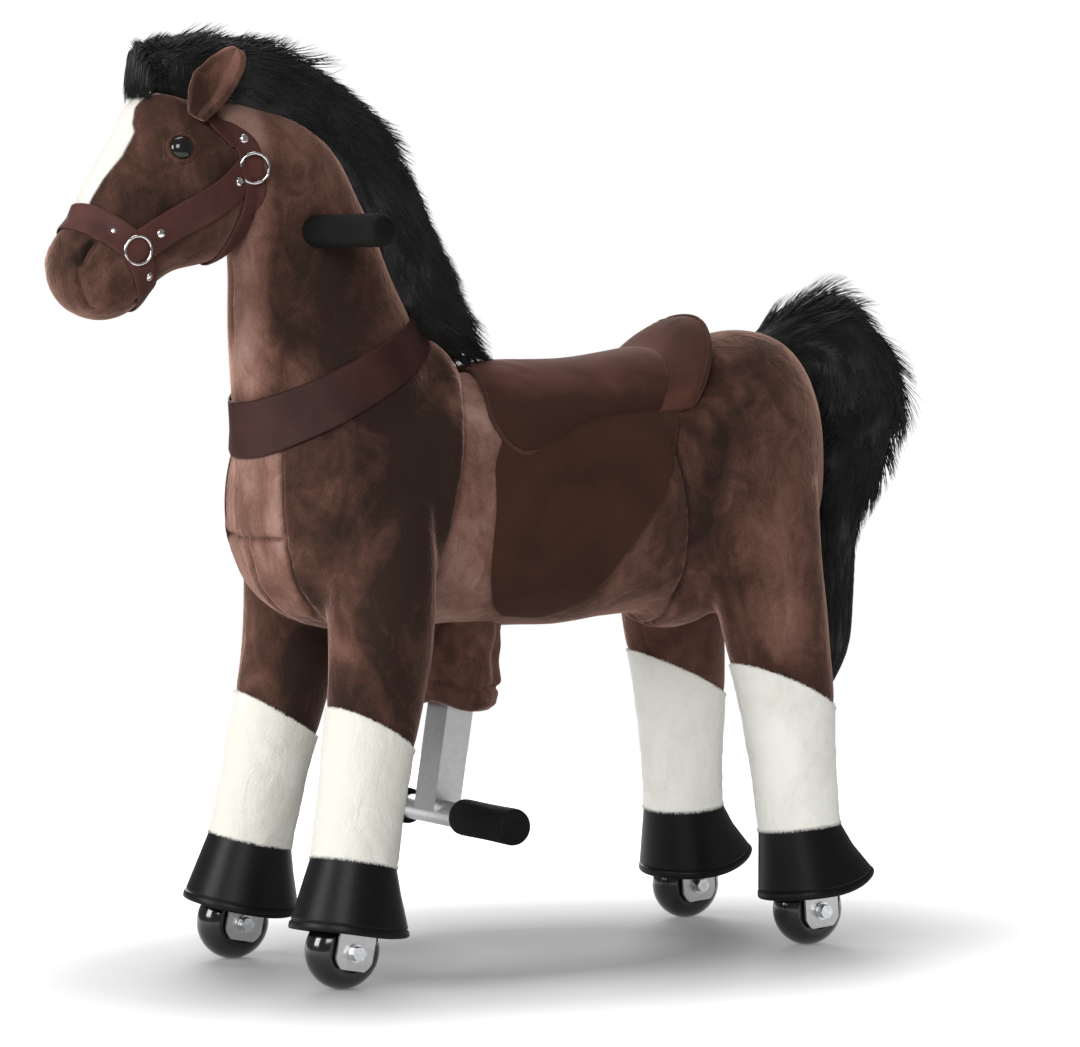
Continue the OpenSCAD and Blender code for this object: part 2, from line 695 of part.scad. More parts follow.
module pedal_grips() {
    post_drop = (pivot_z - pedal_z) / cos(post_lean);
    color(vinyl_black) at_post() translate([0, 0, -post_drop]) both_sides() difference() {
        translate([0, pedal_grip_y, 0]) rounded_grip(pedal_grip_d / 2, pedal_grip_l, 6);
        rod(pedal_bar_d / 2 + push_fit, 2 * (pedal_grip_y + pedal_grip_l - 5) + 0.2);
    }
}

module steering_bushes() {
    bush_l = head_tube_l / 2 - 8;
    color("#b08d57") difference() {
        union() {
            translate([steer_x, 0, head_tube_bottom]) cylinder(r = bush_r, h = bush_l);
            translate([steer_x, 0, head_tube_bottom - flange_t]) cylinder(r = bush_r + 3, h = flange_t);
            translate([steer_x, 0, head_tube_top - bush_l]) cylinder(r = bush_r, h = bush_l);
            translate([steer_x, 0, head_tube_top]) cylinder(r = bush_r + 3, h = flange_t);
        }
        translate([steer_x, 0, head_tube_bottom - 10])
            cylinder(r = kingpin_d / 2 + kingpin_play, h = head_tube_l + 20);
    }
}

// Fork: crown bar with a leg tube at each end and the kingpin on top
module front_fork() {
    crown = leg_point("front", crown_z);
    bar_front = crown[0] + crown_size / 2;
    bar_back = min(crown[0], steer_x) - crown_size / 2;
    shoulder_top = head_tube_bottom - flange_t - plush_gap;
    color(zinc) union() {
        both_sides() leg_tube("front", crown_z + crown_size / 2);
        translate([bar_back, -crown[1], crown_z - crown_size / 2])
            cube([bar_front - bar_back, 2 * crown[1], crown_size]);
        translate([steer_x, 0, crown_z]) cylinder(r = bush_r + 3, h = shoulder_top - crown_z);
        translate([steer_x, 0, crown_z]) cylinder(r = kingpin_d / 2, h = collar_bottom + collar_h - crown_z);
    }
}

module along_stem() {
    rise = bar_z - collar_bottom - collar_h / 2;
    translate([steer_x, 0, collar_bottom + collar_h / 2])
        rotate([0, atan2(bar_x - steer_x, rise), 0]) children();
}

function stem_length() = norm([bar_x - steer_x, bar_z - collar_bottom - collar_h / 2]);

module neck_stem() {
    color(zinc) difference() {
        union() {
            translate([steer_x, 0, collar_bottom]) cylinder(r = collar_r, h = collar_h);
            along_stem() cylinder(r = stem_r, h = stem_length());
            translate([bar_x, 0, bar_z]) rod(clamp_r, clamp_w);
        }
        translate([steer_x, 0, collar_bottom - 1]) cylinder(r = kingpin_d / 2, h = collar_h + 1);
        translate([bar_x, 0, bar_z]) rod(bar_d / 2 + push_fit, clamp_w + 1);
    }
}

module handlebar() {
    color(zinc) translate([bar_x, 0, bar_z]) difference() {
        rod(bar_d / 2, 2 * (grip_tip_y - 4));
        rod(bar_d / 2 - tube_wall, 2 * grip_tip_y);
    }
}

module handle_grips() {
    color(vinyl_black) translate([bar_x, 0, bar_z]) both_sides() difference() {
        translate([0, grip_root_y, 0]) rounded_grip(grip_d / 2, grip_tip_y - grip_root_y, 10);
        rod(bar_d / 2 + push_fit, 2 * (grip_tip_y - 4) + 0.2);
    }
}

// Plush forms
module rump_form(lift) loft(trunk_rows, 24, 2, 0, seam_row, lift);
module belly_form(lift) loft(trunk_rows, 24, 2, seam_row + 1, seam_row + 5, lift);
module cover_form(lift) loft(cover_rows, 24, 2, 0, -1, lift);
module chest_form(lift) loft(chest_rows, 24, 2, 0, -1, lift);
module neck_form(lift) loft(neck_rows, 22, 2, 0, -1, lift);
module head_form(lift) loft(head_rows, 22, 2, 0, -1, lift);

module barrel() {
    notch_x = pivot_x - 6;
    cavity_y = backbone_w / 2 + ear_t + 7;
    cavity_bottom = spring_front[1] - spring_d / 2 - 6;
    cavity_top = pivot_z + backbone_h / 2 + frame_gap;
    color(plush_brown) difference() {
        loft(trunk_rows, 24, 2, seam_row, -1, 0);
        // Tunnel for the backbone, the spring and the swinging arm
        translate([-2 * rump_seam_x, -cavity_y, cavity_bottom])
            cube([4 * rump_seam_x, 2 * cavity_y, cavity_top - cavity_bottom]);
        // The arm rises into this part of the tunnel
        translate([pivot_x, -arm_w / 2 - 4, cavity_top - 1]) cube([2 * rump_seam_x, arm_w + 8, 16]);
        // Slot in the belly where the post swings
        translate([notch_x, -post_w / 2 - 5, 0]) cube([2 * rump_seam_x, post_w + 10, cavity_bottom + 1]);
        // Bed of the seat board
        translate([backbone_front_x - 151, -66, board_bottom - 1]) cube([152, 132, board_t + 1.3]);
    }
}

module rump() {
    color(plush_brown) difference() {
        loft(trunk_rows, 24, 2, 0, seam_row, 0);
        rear_frame_room();
    }
}

// Everything of a leg below or above its stocking seam
module below_seam(seam, lift) {
    translate([0, 0, seam[0] + lift]) rotate([0, -seam[1], 0])
        translate([-150, -150, -300]) cube(300);
}

module above_seam(seam, lift) {
    translate([0, 0, seam[0] + lift]) rotate([0, -seam[1], 0])
        translate([-150, -150, 0]) cube(300);
}

module leg_plush(end, rows, seam) {
    at_leg(end) difference() {
        loft(rows, 16, 2);
        below_seam(seam, plush_gap / 2);
        cylinder(r = tube_r + plush_gap, h = 600);
    }
}

module stocking(end, rows, seam) {
    color(plush_cream) at_leg(end) difference() {
        loft(rows, 16, 2, 0, 4);
        above_seam(seam, -plush_gap / 2);
        cylinder(r = tube_r + plush_gap, h = 600);
    }
}

module front_leg() {
    color(plush_brown) difference() {
        leg_plush("front", front_leg_rows, front_seam);
        chest_form(plush_gap);
        // Nothing of the leg stands behind the chest's rear face
        translate([chest_back_x - 200, -200, crown_z - 90]) cube([200, 400, 300]);
    }
}

module rear_leg() {
    color(plush_brown) difference() {
        leg_plush("rear", rear_leg_rows, rear_seam);
        rump_form(plush_gap);
    }
}

module front_leg_left() front_leg();
module front_leg_right() on_side("right") front_leg();
module rear_leg_left() rear_leg();
module rear_leg_right() on_side("right") rear_leg();
module front_stocking_left() stocking("front", front_leg_rows, front_seam);
module front_stocking_right() on_side("right") stocking("front", front_leg_rows, front_seam);
module rear_stocking_left() stocking("rear", rear_leg_rows, rear_seam);
module rear_stocking_right() on_side("right") stocking("rear", rear_leg_rows, rear_seam);

// Moulded hoof: a flared shell with a bead at its rim, open below
function hoof_rows(heel, wall, top) = let (
    waist = hoof_rim + 0.3 * (hoof_top - hoof_rim),
    side = ankle_r + 12) [
    [0, hoof_rim - (wall > 0 ? 1 : 0), 90, heel - wall, hoof_toe - wall, side - wall],
    [0, hoof_rim + 6, 90, heel - wall, hoof_toe - wall, side - wall],
    [0, waist, 90, heel - wall - (heel - ankle_r) * 0.45, hoof_toe - wall - 4, side - wall - 5],
    [0, hoof_rim + 0.62 * (hoof_top - hoof_rim), 90, ankle_r + 5 - wall, ankle_r + 4 - wall, ankle_r + 4 - wall],
    [0, top, 90, ankle_r + 2 - wall, ankle_r + 2 - wall, ankle_r + 2 - wall]];

module hoof(heel) {
    color(vinyl_black) difference() {
        skin([for (row = hoof_rows(heel, 0, hoof_top - plush_gap)) skin_ring(row, 22, 0)]);
        skin([for (row = hoof_rows(heel, hoof_wall, hoof_top - 2 * hoof_wall)) skin_ring(row, 22, 0)]);
        cylinder(r = tube_r + plush_gap, h = 200);
    }
}

module front_hoof_left() at_leg("front") hoof(front_heel);
module front_hoof_right() on_side("right") at_leg("front") hoof(front_heel);
module rear_hoof_left() at_leg("rear") hoof(rear_heel);
module rear_hoof_right() on_side("right") at_leg("rear") hoof(rear_heel);

module chest() {
    crown = leg_point("front", crown_z);
    hollow_r = head_tube_d / 2 + 18;
    color(plush_brown) difference() {
        chest_form(0);
        // Room for the head tube and for the arm as the front steers
        translate([steer_x, 0, crown_z]) cylinder(r = hollow_r, h = collar_bottom + collar_h - crown_z + frame_gap);
        // Room for the crown bar
        translate([chest_back_x - 10, -crown[1] - tube_r - frame_gap, crown_z - crown_size / 2 - frame_gap])
            cube([crown[0] + crown_size / 2 + frame_gap - chest_back_x + 10,
                2 * (crown[1] + tube_r + frame_gap), crown_size + 2 * frame_gap + 4]);
        both_sides() leg_bore("front", crown_z + crown_size / 2);
        along_stem() cylinder(r = stem_r + plush_gap, h = stem_length());
    }
}

module neck() {
    color(plush_brown) difference() {
        neck_form(0);
        chest_form(plush_gap);
        translate([steer_x, 0, 0]) cylinder(r = collar_r + frame_gap, h = collar_bottom + collar_h + frame_gap);
        along_stem() cylinder(r = stem_r + plush_gap, h = stem_length());
        translate([bar_x, 0, bar_z]) rod(clamp_r + plush_gap, clamp_w + 1);
        translate([bar_x, 0, bar_z]) rod(bar_d / 2 + plush_gap, 2 * grip_tip_y);
        // The back of the neck rests on the shoulder cover
        cover_form(plush_gap);
        translate([0, -200, 0]) cube([chest_back_x - 52, 400, 2 * bar_z]);
        translate([0, -200, 0]) cube([chest_back_x, 400, back_z - 20]);
    }
}

module head() {
    color(plush_brown) difference() {
        head_form(0);
        neck_form(plush_gap);
    }
}

module muzzle() {
    color(plush_brown) difference() {
        translate(muzzle_at) sphere(d = muzzle_d);
        head_form(plush_gap);
        // The noseband lies in the plush
        band(head_rows, noseband[0] - 0.02, noseband[1] + 0.02, 0, strap_t + 2 * cloth_gap);
    }
}

module ears() {
    color(plush_brown) difference() {
        both_sides() translate([0, ear_y, 0]) loft(ear_rows, 14, 2);
        head_form(plush_gap);
        // The crown strap passes under the foot of each ear
        band(head_rows, crown_strap[0] - 0.02, crown_strap[1] + 0.02, 0, strap_t + 2 * cloth_gap);
    }
}

module eyes() {
    // The head is flat between its points there, so the eye's back lies a little lower
    eye_seat = -0.5;
    color("black") both_sides() on_head([poll_row + 1.22, 30], eye_seat) difference() {
        translate([0, 0, -3]) sphere(d = eye_d);
        translate([-eye_d, -eye_d, -2 * eye_d]) cube(2 * eye_d);
    }
}

module mane() {
    color(hair_black) difference() {
        loft(mane_rows, 16, 2);
        neck_form(plush_gap);
        // The halter passes under the mane
        head_form(strap_t + 3 * cloth_gap);
    }
}

module tail() {
    color(hair_black) difference() {
        loft(tail_rows, 16, 2);
        loft(trunk_rows, 24, 2, 0, 3, plush_gap);
    }
}

// Fabric sleeve under the belly, gathered into soft folds round the post
module belly_sleeve() {
    hem_drop = (pivot_z - 256) / cos(post_lean);
    top_drop = (pivot_z - belly_z - 40) / cos(post_lean);
    folds = 5;
    last = 3;
    half_l = post_l / 2 + 20;
    half_w = post_w / 2 + 13;
    rings = [for (i = [0:last]) let (
        u = i / last,
        z = -hem_drop + (hem_drop - top_drop) * u,
        slack = 1 - 0.35 * u)
        [for (k = [0:29]) let (a = 12 * k, wave = 2.5 * slack * cos(folds * a + 30 * i))
            [(half_l * (1.06 - 0.05 * u) + wave) * cos(a) - 4, (half_w + wave) * sin(a), z]]];
    color(plush_brown) difference() {
        at_post() difference() {
            skin(rings);
            translate([-post_l / 2 - 4, -post_w / 2 - 2, -hem_drop - past])
                cube([post_l + 8, post_w + 4, hem_drop + past]);
        }
        belly_form(plush_gap);
    }
}

// Saddle: sheets that follow the trunk between two stations
function trunk_station(x) = let (
    k = [for (i = [0:len(trunk_rows) - 2]) if (trunk_rows[i][0] <= x && trunk_rows[i + 1][0] >= x) i][0])
    station_in(x, k, k + 1, 12);
function station_in(x, low, high, tries) = let (mid = (low + high) / 2)
    tries == 0 ? mid
    : row_at(trunk_rows, mid)[0] < x ? station_in(x, mid, high, tries - 1) : station_in(x, low, mid, tries - 1);
function on_trunk(x, angle, lift) = skin_point(row_at(trunk_rows, trunk_station(x)), angle, lift);

seat_front_x = 48;
seat_angle = 48;
cantle_front_x = -168;
cantle_l = 62;
cantle_bow = 44;
cantle_angle = seat_angle + 1.5;
flap_front_x = 84;
flap_back_x = -134;
flap_drop = 74;
hem_t = 4;

// Front edge of the cantle at an angle from the top of the back
function cantle_edge(angle) = cantle_front_x + cantle_bow * pow(angle / cantle_angle, 2);

// A sheet over the trunk from a grid of [x, angle, thickness]
module trunk_sheet(grid) {
    // The sheet is flatter between its points than the trunk, so it lies a little higher
    under = cloth_gap + 0.7;
    sheet(
        [for (line = grid) [for (g = line) on_trunk(g[0], g[1], under)]],
        [for (line = grid) [for (g = line) on_trunk(g[0], g[1], under + g[2])]]);
}

module saddle_seat() {
    rows = 10;
    cols = 10;
    color(saddle_brown) trunk_sheet([for (i = [0:rows]) let (u = i / rows) [for (j = [0:cols]) let (
        side = 2 * j / cols - 1,
        back = cantle_edge(seat_angle * side) + 1,
        crown = (1 - pow(abs(side), 3)) * (1 - pow(abs(2 * u - 1), 6)))
        [back + (seat_front_x - back) * u, 90 + seat_angle * side, hem_t + (seat_t - hem_t) * crown]]]);
}

// Cantle: a padded ridge, bent like a horseshoe over the back and steep behind
module saddle_cantle() {
    rows = 8;
    cols = 14;
    color(saddle_brown) trunk_sheet([for (i = [0:rows]) let (u = 1 - i / rows) [for (j = [0:cols]) let (
        side = 2 * j / cols - 1,
        ridge = sin(180 * pow(u, 1.4)) * (1 - 0.5 * side * side))
        [cantle_edge(cantle_angle * side) - cantle_l * u * (1 - 0.3 * side * side),
            90 + cantle_angle * side,
            hem_t + (cantle_h - hem_t) * ridge]]]);
}

// Flap: long in front, swept up at the rear
module saddle_flap() {
    rows = 10;
    cols = 6;
    color(saddle_brown) trunk_sheet([for (i = [0:rows]) let (
        u = i / rows,
        x = flap_back_x + (flap_front_x - flap_back_x) * u,
        drop = flap_drop * (0.25 + 0.75 * sin(90 * min(1, u / 0.62))) * (1 - 0.1 * pow(u, 8)))
        [for (j = [cols:-1:0]) [x, 90 - cantle_angle - 0.5 - drop * j / cols, flap_t]]]);
}

module saddle_flap_left() saddle_flap();
module saddle_flap_right() on_side("right") saddle_flap();

module breast_collar() {
    color(leather_brown) difference() {
        band(neck_rows, collar_row - collar_w / 2 / 47, collar_row + collar_w / 2 / 70, cloth_gap, strap_t);
        loft(chest_rows, 24, 2, 1, -1, plush_gap);
        translate([0, -200, 0]) cube([chest_back_x - 44, 400, 2 * bar_z]);
        // Its ends are tucked in under the mane
        translate([0, -30, 0]) cube([chest_back_x - 10, 60, 2 * bar_z]);
    }
}

// Halter: a noseband, a band behind the cheeks and a strap along each cheek
module halter() {
    steps = 8;
    color(leather_brown) {
        band(head_rows, noseband[0], noseband[1], cloth_gap, strap_t);
        difference() {
            band(head_rows, crown_strap[0], crown_strap[1], cloth_gap, strap_t);
            loft(neck_rows, 22, 1, 1, -1, 2 * cloth_gap);
        }
        both_sides() {
            grid = [for (i = [0:steps]) let (
                s = cheek_first + (cheek_last - cheek_first) * i / steps,
                row = row_at(head_rows, s),
                half = asin(min(0.9, strap_w / 2 / row[3])))
                [for (j = [-2:2]) [s, half * j / 2]]];
            sheet(
                [for (line = grid) [for (g = line) skin_point(row_at(head_rows, g[0]), g[1], cloth_gap)]],
                [for (line = grid) [for (g = line) skin_point(row_at(head_rows, g[0]), g[1], cloth_gap + strap_t)]]);
        }
    }
}

// Places on the left side of the halter: station and angle on the head
ring_places = [[nose_row - 0.05, 2], [poll_row + 0.36, 4]];
rivet_places = [
    [nose_row - 0.05, 30], [nose_row - 0.05, -30], [nose_row - 0.75, 2],
    [poll_row + 1.1, 2], [poll_row + 0.36, 22]];

// Stands over the head's surface, with its axis along the surface's normal
module on_head(place, lift) {
    row = row_at(head_rows, place[0]);
    ahead = skin_point(row_at(head_rows, place[0] + 0.05), place[1], 0)
        - skin_point(row_at(head_rows, place[0] - 0.05), place[1], 0);
    round_ = skin_point(row, place[1] + 2, 0) - skin_point(row, place[1] - 2, 0);
    normal = unit(cross(round_, ahead));
    at = skin_point(row, place[1], 0) + normal * lift;
    translate(at) rotate([0, acos(normal[2]), atan2(normal[1], normal[0])]) children();
}

// Rings and rivets of the halter
module halter_hardware() {
    strap_top = cloth_gap + strap_t + plush_gap;
    color("#d8d8dc") both_sides() {
        for (place = ring_places) on_head(place, strap_top + ring_wire / 2)
            rotate_extrude() translate([(ring_d - ring_wire) / 2, 0]) circle(ring_wire / 2);
        for (place = rivet_places) on_head(place, strap_top) cylinder(r1 = 4.5, r2 = 3, h = 2.2);
    }
}

// Soft cover that closes the space between the chest and the barrel
module shoulder_cover() {
    color(plush_brown) difference() {
        cover_form(0);
        loft([for (row = cover_rows) row - [0, 0, 0, cover_t, cover_t, cover_t]], 24, 2, 0, -1, 0);
        translate([cover_edge[0], 0, chest_mid]) rotate([0, -cover_edge[1], 0])
            translate([-400, -200, -400]) cube([400, 400, 800]);
    }
}

rear_frame();
rear_wheel_bracket_left();
rear_wheel_bracket_right();
rear_axle_bolts();
seat_board();
gallop_pin();
return_spring();
barrel();
rump();
rear_leg_left();
rear_leg_right();
rear_stocking_left();
rear_stocking_right();
rear_hoof_left();
rear_hoof_right();
saddle_seat();
saddle_cantle();
saddle_flap_left();
saddle_flap_right();
tail();
belly_sleeve();
pedal_frame();
pedal_grips();
steering_bushes();
front_fork();
neck_stem();
front_wheel_bracket_left();
front_wheel_bracket_right();
front_axle_bolts();
chest();
neck();
head();
muzzle();
ears();
eyes();
mane();
front_leg_left();
front_leg_right();
front_stocking_left();
front_stocking_right();
front_hoof_left();
front_hoof_right();
handlebar();
handle_grips();
breast_collar();
halter();
halter_hardware();
shoulder_cover();
front_tyre_left();
front_hub_left();
front_bearings_left();
front_tyre_right();
front_hub_right();
front_bearings_right();
rear_tyre_left();
rear_hub_left();
rear_bearings_left();
rear_tyre_right();
rear_hub_right();
rear_bearings_right();
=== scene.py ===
# %% [markdown]
# # A plush ride-on horse on wheels
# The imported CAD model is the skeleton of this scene: it fixes where everything sits and how it moves.
# This lesson dresses it with what the eye meets on the real toy: stuffed plush, a suede saddle, leather straps,
# long black hair, moulded hooves and bare zinc. Lengths are written in millimetres, as on a pattern sheet,
# and turned into metres when a mesh is made.

import math

import bpy
import numpy as np
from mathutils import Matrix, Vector


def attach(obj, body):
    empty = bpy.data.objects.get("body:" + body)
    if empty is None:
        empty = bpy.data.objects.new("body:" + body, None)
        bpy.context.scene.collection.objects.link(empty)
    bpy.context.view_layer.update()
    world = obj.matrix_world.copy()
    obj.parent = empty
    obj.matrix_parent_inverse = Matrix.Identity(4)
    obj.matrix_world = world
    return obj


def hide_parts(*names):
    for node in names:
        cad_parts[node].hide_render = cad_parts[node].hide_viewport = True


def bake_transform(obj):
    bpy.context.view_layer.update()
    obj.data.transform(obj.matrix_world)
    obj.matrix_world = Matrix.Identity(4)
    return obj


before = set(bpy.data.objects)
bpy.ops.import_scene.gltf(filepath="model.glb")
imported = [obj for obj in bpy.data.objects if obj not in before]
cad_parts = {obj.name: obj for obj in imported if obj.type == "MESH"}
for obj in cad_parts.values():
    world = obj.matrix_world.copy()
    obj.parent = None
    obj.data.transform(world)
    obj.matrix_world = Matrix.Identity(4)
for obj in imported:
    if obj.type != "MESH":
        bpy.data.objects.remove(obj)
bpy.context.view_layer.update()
scene = bpy.context.scene
per_metre = 1000
both_ends = ("front", "rear")
both_sides = ((1, "left"), (-1, "right"))

# %% [markdown]
# ## Camera
# The photograph was taken from the horse's left front, a little above its back, with a long lens.
# The place and the lens come from the four wheel contacts, so that a point of the frame falls where the photo
# has it. Putting the camera first means that every later step can be judged in the right view.

# %% Camera at the photo's place
turn, dip = math.radians(31.55), math.radians(3.22)
camera_away, camera_height, aim_x = 4.5, 0.69, -0.0385
camera = bpy.data.objects.new("camera", bpy.data.cameras.new("camera"))
camera.data.lens = 147.5
camera.data.sensor_width = 36
camera.location = (aim_x + camera_away * math.sin(turn), camera_away * math.cos(turn), camera_height)
look = Vector((-math.sin(turn) * math.cos(dip), -math.cos(turn) * math.cos(dip), -math.sin(dip)))
camera.rotation_euler = look.to_track_quat("-Z", "Y").to_euler()
scene.collection.objects.link(camera)
scene.camera = camera
print("camera at", np.round(camera.location, 3).tolist())

# %% [markdown]
# ## From numbers to meshes
# Every new piece is a surface worked out with numpy: rows of points and the faces between them.
# Modelling by hand would be quick for one horse, but formulas keep both sides equal and can be read again.
# A closed shell whose signed volume is negative is inside out, so its faces are turned before the mesh is made.


# %% Mesh helpers
def even_angles(count):
    """Angles at even steps round a full circle."""
    return np.linspace(0, 2 * np.pi, count, endpoint=False)


def spread(rows, cols):
    """Two grids of even values; rows and cols are each (first, last, count)."""
    return np.meshgrid(np.linspace(*rows), np.linspace(*cols), indexing="ij")


def unit(vectors):
    """Vectors scaled to length 1."""
    return vectors / np.maximum(np.linalg.norm(vectors, axis=-1, keepdims=True), 1e-6)


def grid_faces(rows, cols, wrap=True):
    """Quads of a grid whose point (r, c) has the number r * cols + c; with wrap the last column meets the first."""
    r, c = np.meshgrid(np.arange(rows - 1), np.arange(cols if wrap else cols - 1), indexing="ij")
    right = (c + 1) % cols
    quads = np.stack([r * cols + c, r * cols + right, (r + 1) * cols + right, (r + 1) * cols + c], -1)
    return quads.reshape(-1, 4)


def turned_out(points, groups):
    """Turns the faces if six times the shell's volume, the sum of a . (b x c) over its triangles, is negative."""
    volume = 0.0
    for group in groups:
        for k in range(1, group.shape[1] - 1):
            a, b, c = points[group[:, 0]], points[group[:, k]], points[group[:, k + 1]]
            volume += np.einsum("ij,ij->", a, np.cross(b, c))
    return groups if volume >= 0 else [group[:, ::-1] for group in groups]


def closed_tube(rings):
    """Shell of a stack of rings (count, sides, 3), closed at both ends by a fan to the end ring's middle."""
    count, sides, _ = rings.shape
    points = np.concatenate([rings.reshape(-1, 3), rings[0].mean(0)[None], rings[-1].mean(0)[None]])
    k = np.arange(sides)
    low = np.stack([np.full(sides, count * sides), (k + 1) % sides, k], -1)
    high = np.stack([np.full(sides, count * sides + 1), k, (k + 1) % sides], -1)
    high[:, 1:] += (count - 1) * sides
    return points, turned_out(points, [grid_faces(count, sides), low, high])


def slab(inner, outer):
    """Shell between two grids (rows, cols, 3): both faces and the four strips along the edges."""
    rows, cols, _ = inner.shape
    points = np.concatenate([inner.reshape(-1, 3), outer.reshape(-1, 3)])
    face = grid_faces(rows, cols, wrap=False)
    number = np.arange(rows * cols).reshape(rows, cols)
    edge = np.concatenate([number[0, :-1], number[:-1, -1], number[-1, :0:-1], number[:0:-1, 0]])
    after = np.roll(edge, -1)
    strip = np.stack([edge, edge + rows * cols, after + rows * cols, after], -1)
    return points, turned_out(points, [face[:, ::-1], face + rows * cols, strip])


def joined(shells):
    """Several shells as one: the points in a row, and the faces counted on."""
    points, groups, start = [], [], 0
    for shell_points, shell_groups in shells:
        points.append(shell_points)
        groups += [group + start for group in shell_groups]
        start += len(shell_points)
    return np.concatenate(points), groups


def add_piece(name, points, groups, smooth=True):
    """Object at the origin with a mesh of these points, given in millimetres, and these groups of faces."""
    mesh = bpy.data.meshes.new(name)
    corners = np.concatenate([group.ravel() for group in groups]).astype(np.int32)
    sizes = np.concatenate([np.full(len(group), group.shape[1]) for group in groups])
    mesh.vertices.add(len(points))
    mesh.vertices.foreach_set("co", (np.asarray(points, float) / per_metre).ravel())
    mesh.loops.add(len(corners))
    mesh.loops.foreach_set("vertex_index", corners)
    mesh.polygons.add(len(sizes))
    mesh.polygons.foreach_set("loop_start", (np.cumsum(sizes) - sizes).astype(np.int32))
    mesh.update(calc_edges=True)
    mesh.polygons.foreach_set("use_smooth", np.full(len(sizes), smooth))
    piece = bpy.data.objects.new(name, mesh)
    scene.collection.objects.link(piece)
    return piece


def points_of(piece):
    """Points, in millimetres, and normals of the piece's mesh."""
    count = len(piece.data.vertices)
    points, normals = np.empty(count * 3), np.empty(count * 3)
    piece.data.vertices.foreach_get("co", points)
    piece.data.vertices.foreach_get("normal", normals)
    return points.reshape(-1, 3) * per_metre, normals.reshape(-1, 3)


def moved(piece, points):
    """Moves the piece's points to new places in millimetres."""
    piece.data.vertices.foreach_set("co", (points / per_metre).ravel())
    piece.data.update()


def pushed(piece, distance):
    """Moves each point along its normal by its own distance in millimetres."""
    points, normals = points_of(piece)
    moved(piece, points + normals * distance[:, None])


def painted(piece, name, value):
    """Stores one number per point under a name, for a finish to read."""
    layer = piece.data.attributes.new(name, "FLOAT", "POINT")
    layer.data.foreach_set("value", np.asarray(value, np.float32))


print("mesh helpers ready")

# %% [markdown]
# ## Modifiers
# A modifier is a step that Blender works out from a mesh and a few settings. Here each one is added, set and baked
# at once, so that the next step can read the points that it left.


# %% Modifier helpers
def with_modifier(piece, kind, **values):
    """Adds a modifier of one kind and sets its values."""
    added = piece.modifiers.new(kind.lower(), kind)
    for name, value in values.items():
        setattr(added, name, value)
    return piece


def applied(piece):
    """Bakes the piece's modifiers into its mesh, with smooth shading."""
    ready = piece.evaluated_get(bpy.context.evaluated_depsgraph_get())
    mesh = bpy.data.meshes.new_from_object(ready)
    piece.modifiers.clear()
    piece.data = mesh
    mesh.polygons.foreach_set("use_smooth", np.ones(len(mesh.polygons), bool))
    return piece


def subdivided(piece):
    """Adds a Subdivision Surface with the same level in the view and in the render."""
    return with_modifier(piece, "SUBSURF", levels=1, render_levels=1)


def walled(piece, thick, offset):
    """Adds a Solidify: offset 1 thickens a sheet outwards, -1 inwards and 0 to both sides."""
    return with_modifier(piece, "SOLIDIFY", thickness=thick / per_metre, offset=offset)


def remeshed(piece, voxel, rounds):
    """Bakes one skin of even voxels over the piece, softened by a number of smoothing rounds."""
    with_modifier(piece, "REMESH", mode="VOXEL", voxel_size=voxel / per_metre)
    return applied(with_modifier(piece, "SMOOTH", factor=0.5, iterations=rounds))


print("modifier helpers ready")

# %% [markdown]
# ## Sections along a spine
# A sewn animal is drawn as a spine with oval sections, as a pattern maker would measure it.
# A row is [x, z, spine angle, half height above, half height below, half width], and a smooth curve through the
# rows gives the sections between them. Metaballs would be quicker to place, but they don't keep measures.


# %% Section helpers
def along(rows, station):
    """Catmull-Rom value of a table at a station: a cubic between two rows, sloped by their neighbours."""
    rows = np.asarray(rows, float)
    station = np.clip(np.asarray(station, float), 0, len(rows) - 1)
    k = np.minimum(station.astype(int), len(rows) - 2)
    t = (station - k)[..., None]
    a, b, c, d = (rows[np.clip(k + i, 0, len(rows) - 1)] for i in (-1, 0, 1, 2))
    return b + t * (c - a) / 2 + t**2 * (2 * a - 5 * b + 4 * c - d) / 2 + t**3 * (3 * b - 3 * c + d - a) / 2


def looked_up(table, value):
    """Row of a table where its first column has a value, on the smooth curve through its rows."""
    return along(table, np.interp(value, table[:, 0], np.arange(len(table))))


def oval(row, angle, grow=1.0, lift=0.0):
    """Point of a section: half width times cos sideways, half height times sin across the spine, plus a lift."""
    s, c = np.sin(angle), np.cos(angle)
    height = np.where(s >= 0, row[..., 3], row[..., 4]) * grow + lift
    tilt = np.radians(row[..., 2])
    side = (row[..., 5] * grow + lift) * c
    return np.stack([row[..., 0] - np.sin(tilt) * height * s, side, row[..., 1] + np.cos(tilt) * height * s], -1)


def oval_rings(rows, count, sides):
    """Rings of sections at even stations along the whole table."""
    row = along(rows, np.linspace(0, len(rows) - 1, count))[:, None, :]
    return oval(row, even_angles(sides)[None, :])


def smooth_step(low, high, value):
    """0 below low, 1 above high, and 3t^2 - 2t^3 between."""
    t = np.clip((value - low) / (high - low), 0, 1)
    return t * t * (3 - 2 * t)


def waves(points, size, seed):
    """Soft unevenness: the mean of eight sine waves of about this length in seeded directions."""
    rng = np.random.default_rng(seed)
    way = rng.normal(size=(8, 3))
    way *= (2 * np.pi / size / rng.uniform(0.7, 1.5, 8) / np.linalg.norm(way, axis=1))[:, None]
    return np.sin(points @ way.T + rng.uniform(0, 2 * np.pi, 8)).mean(1)


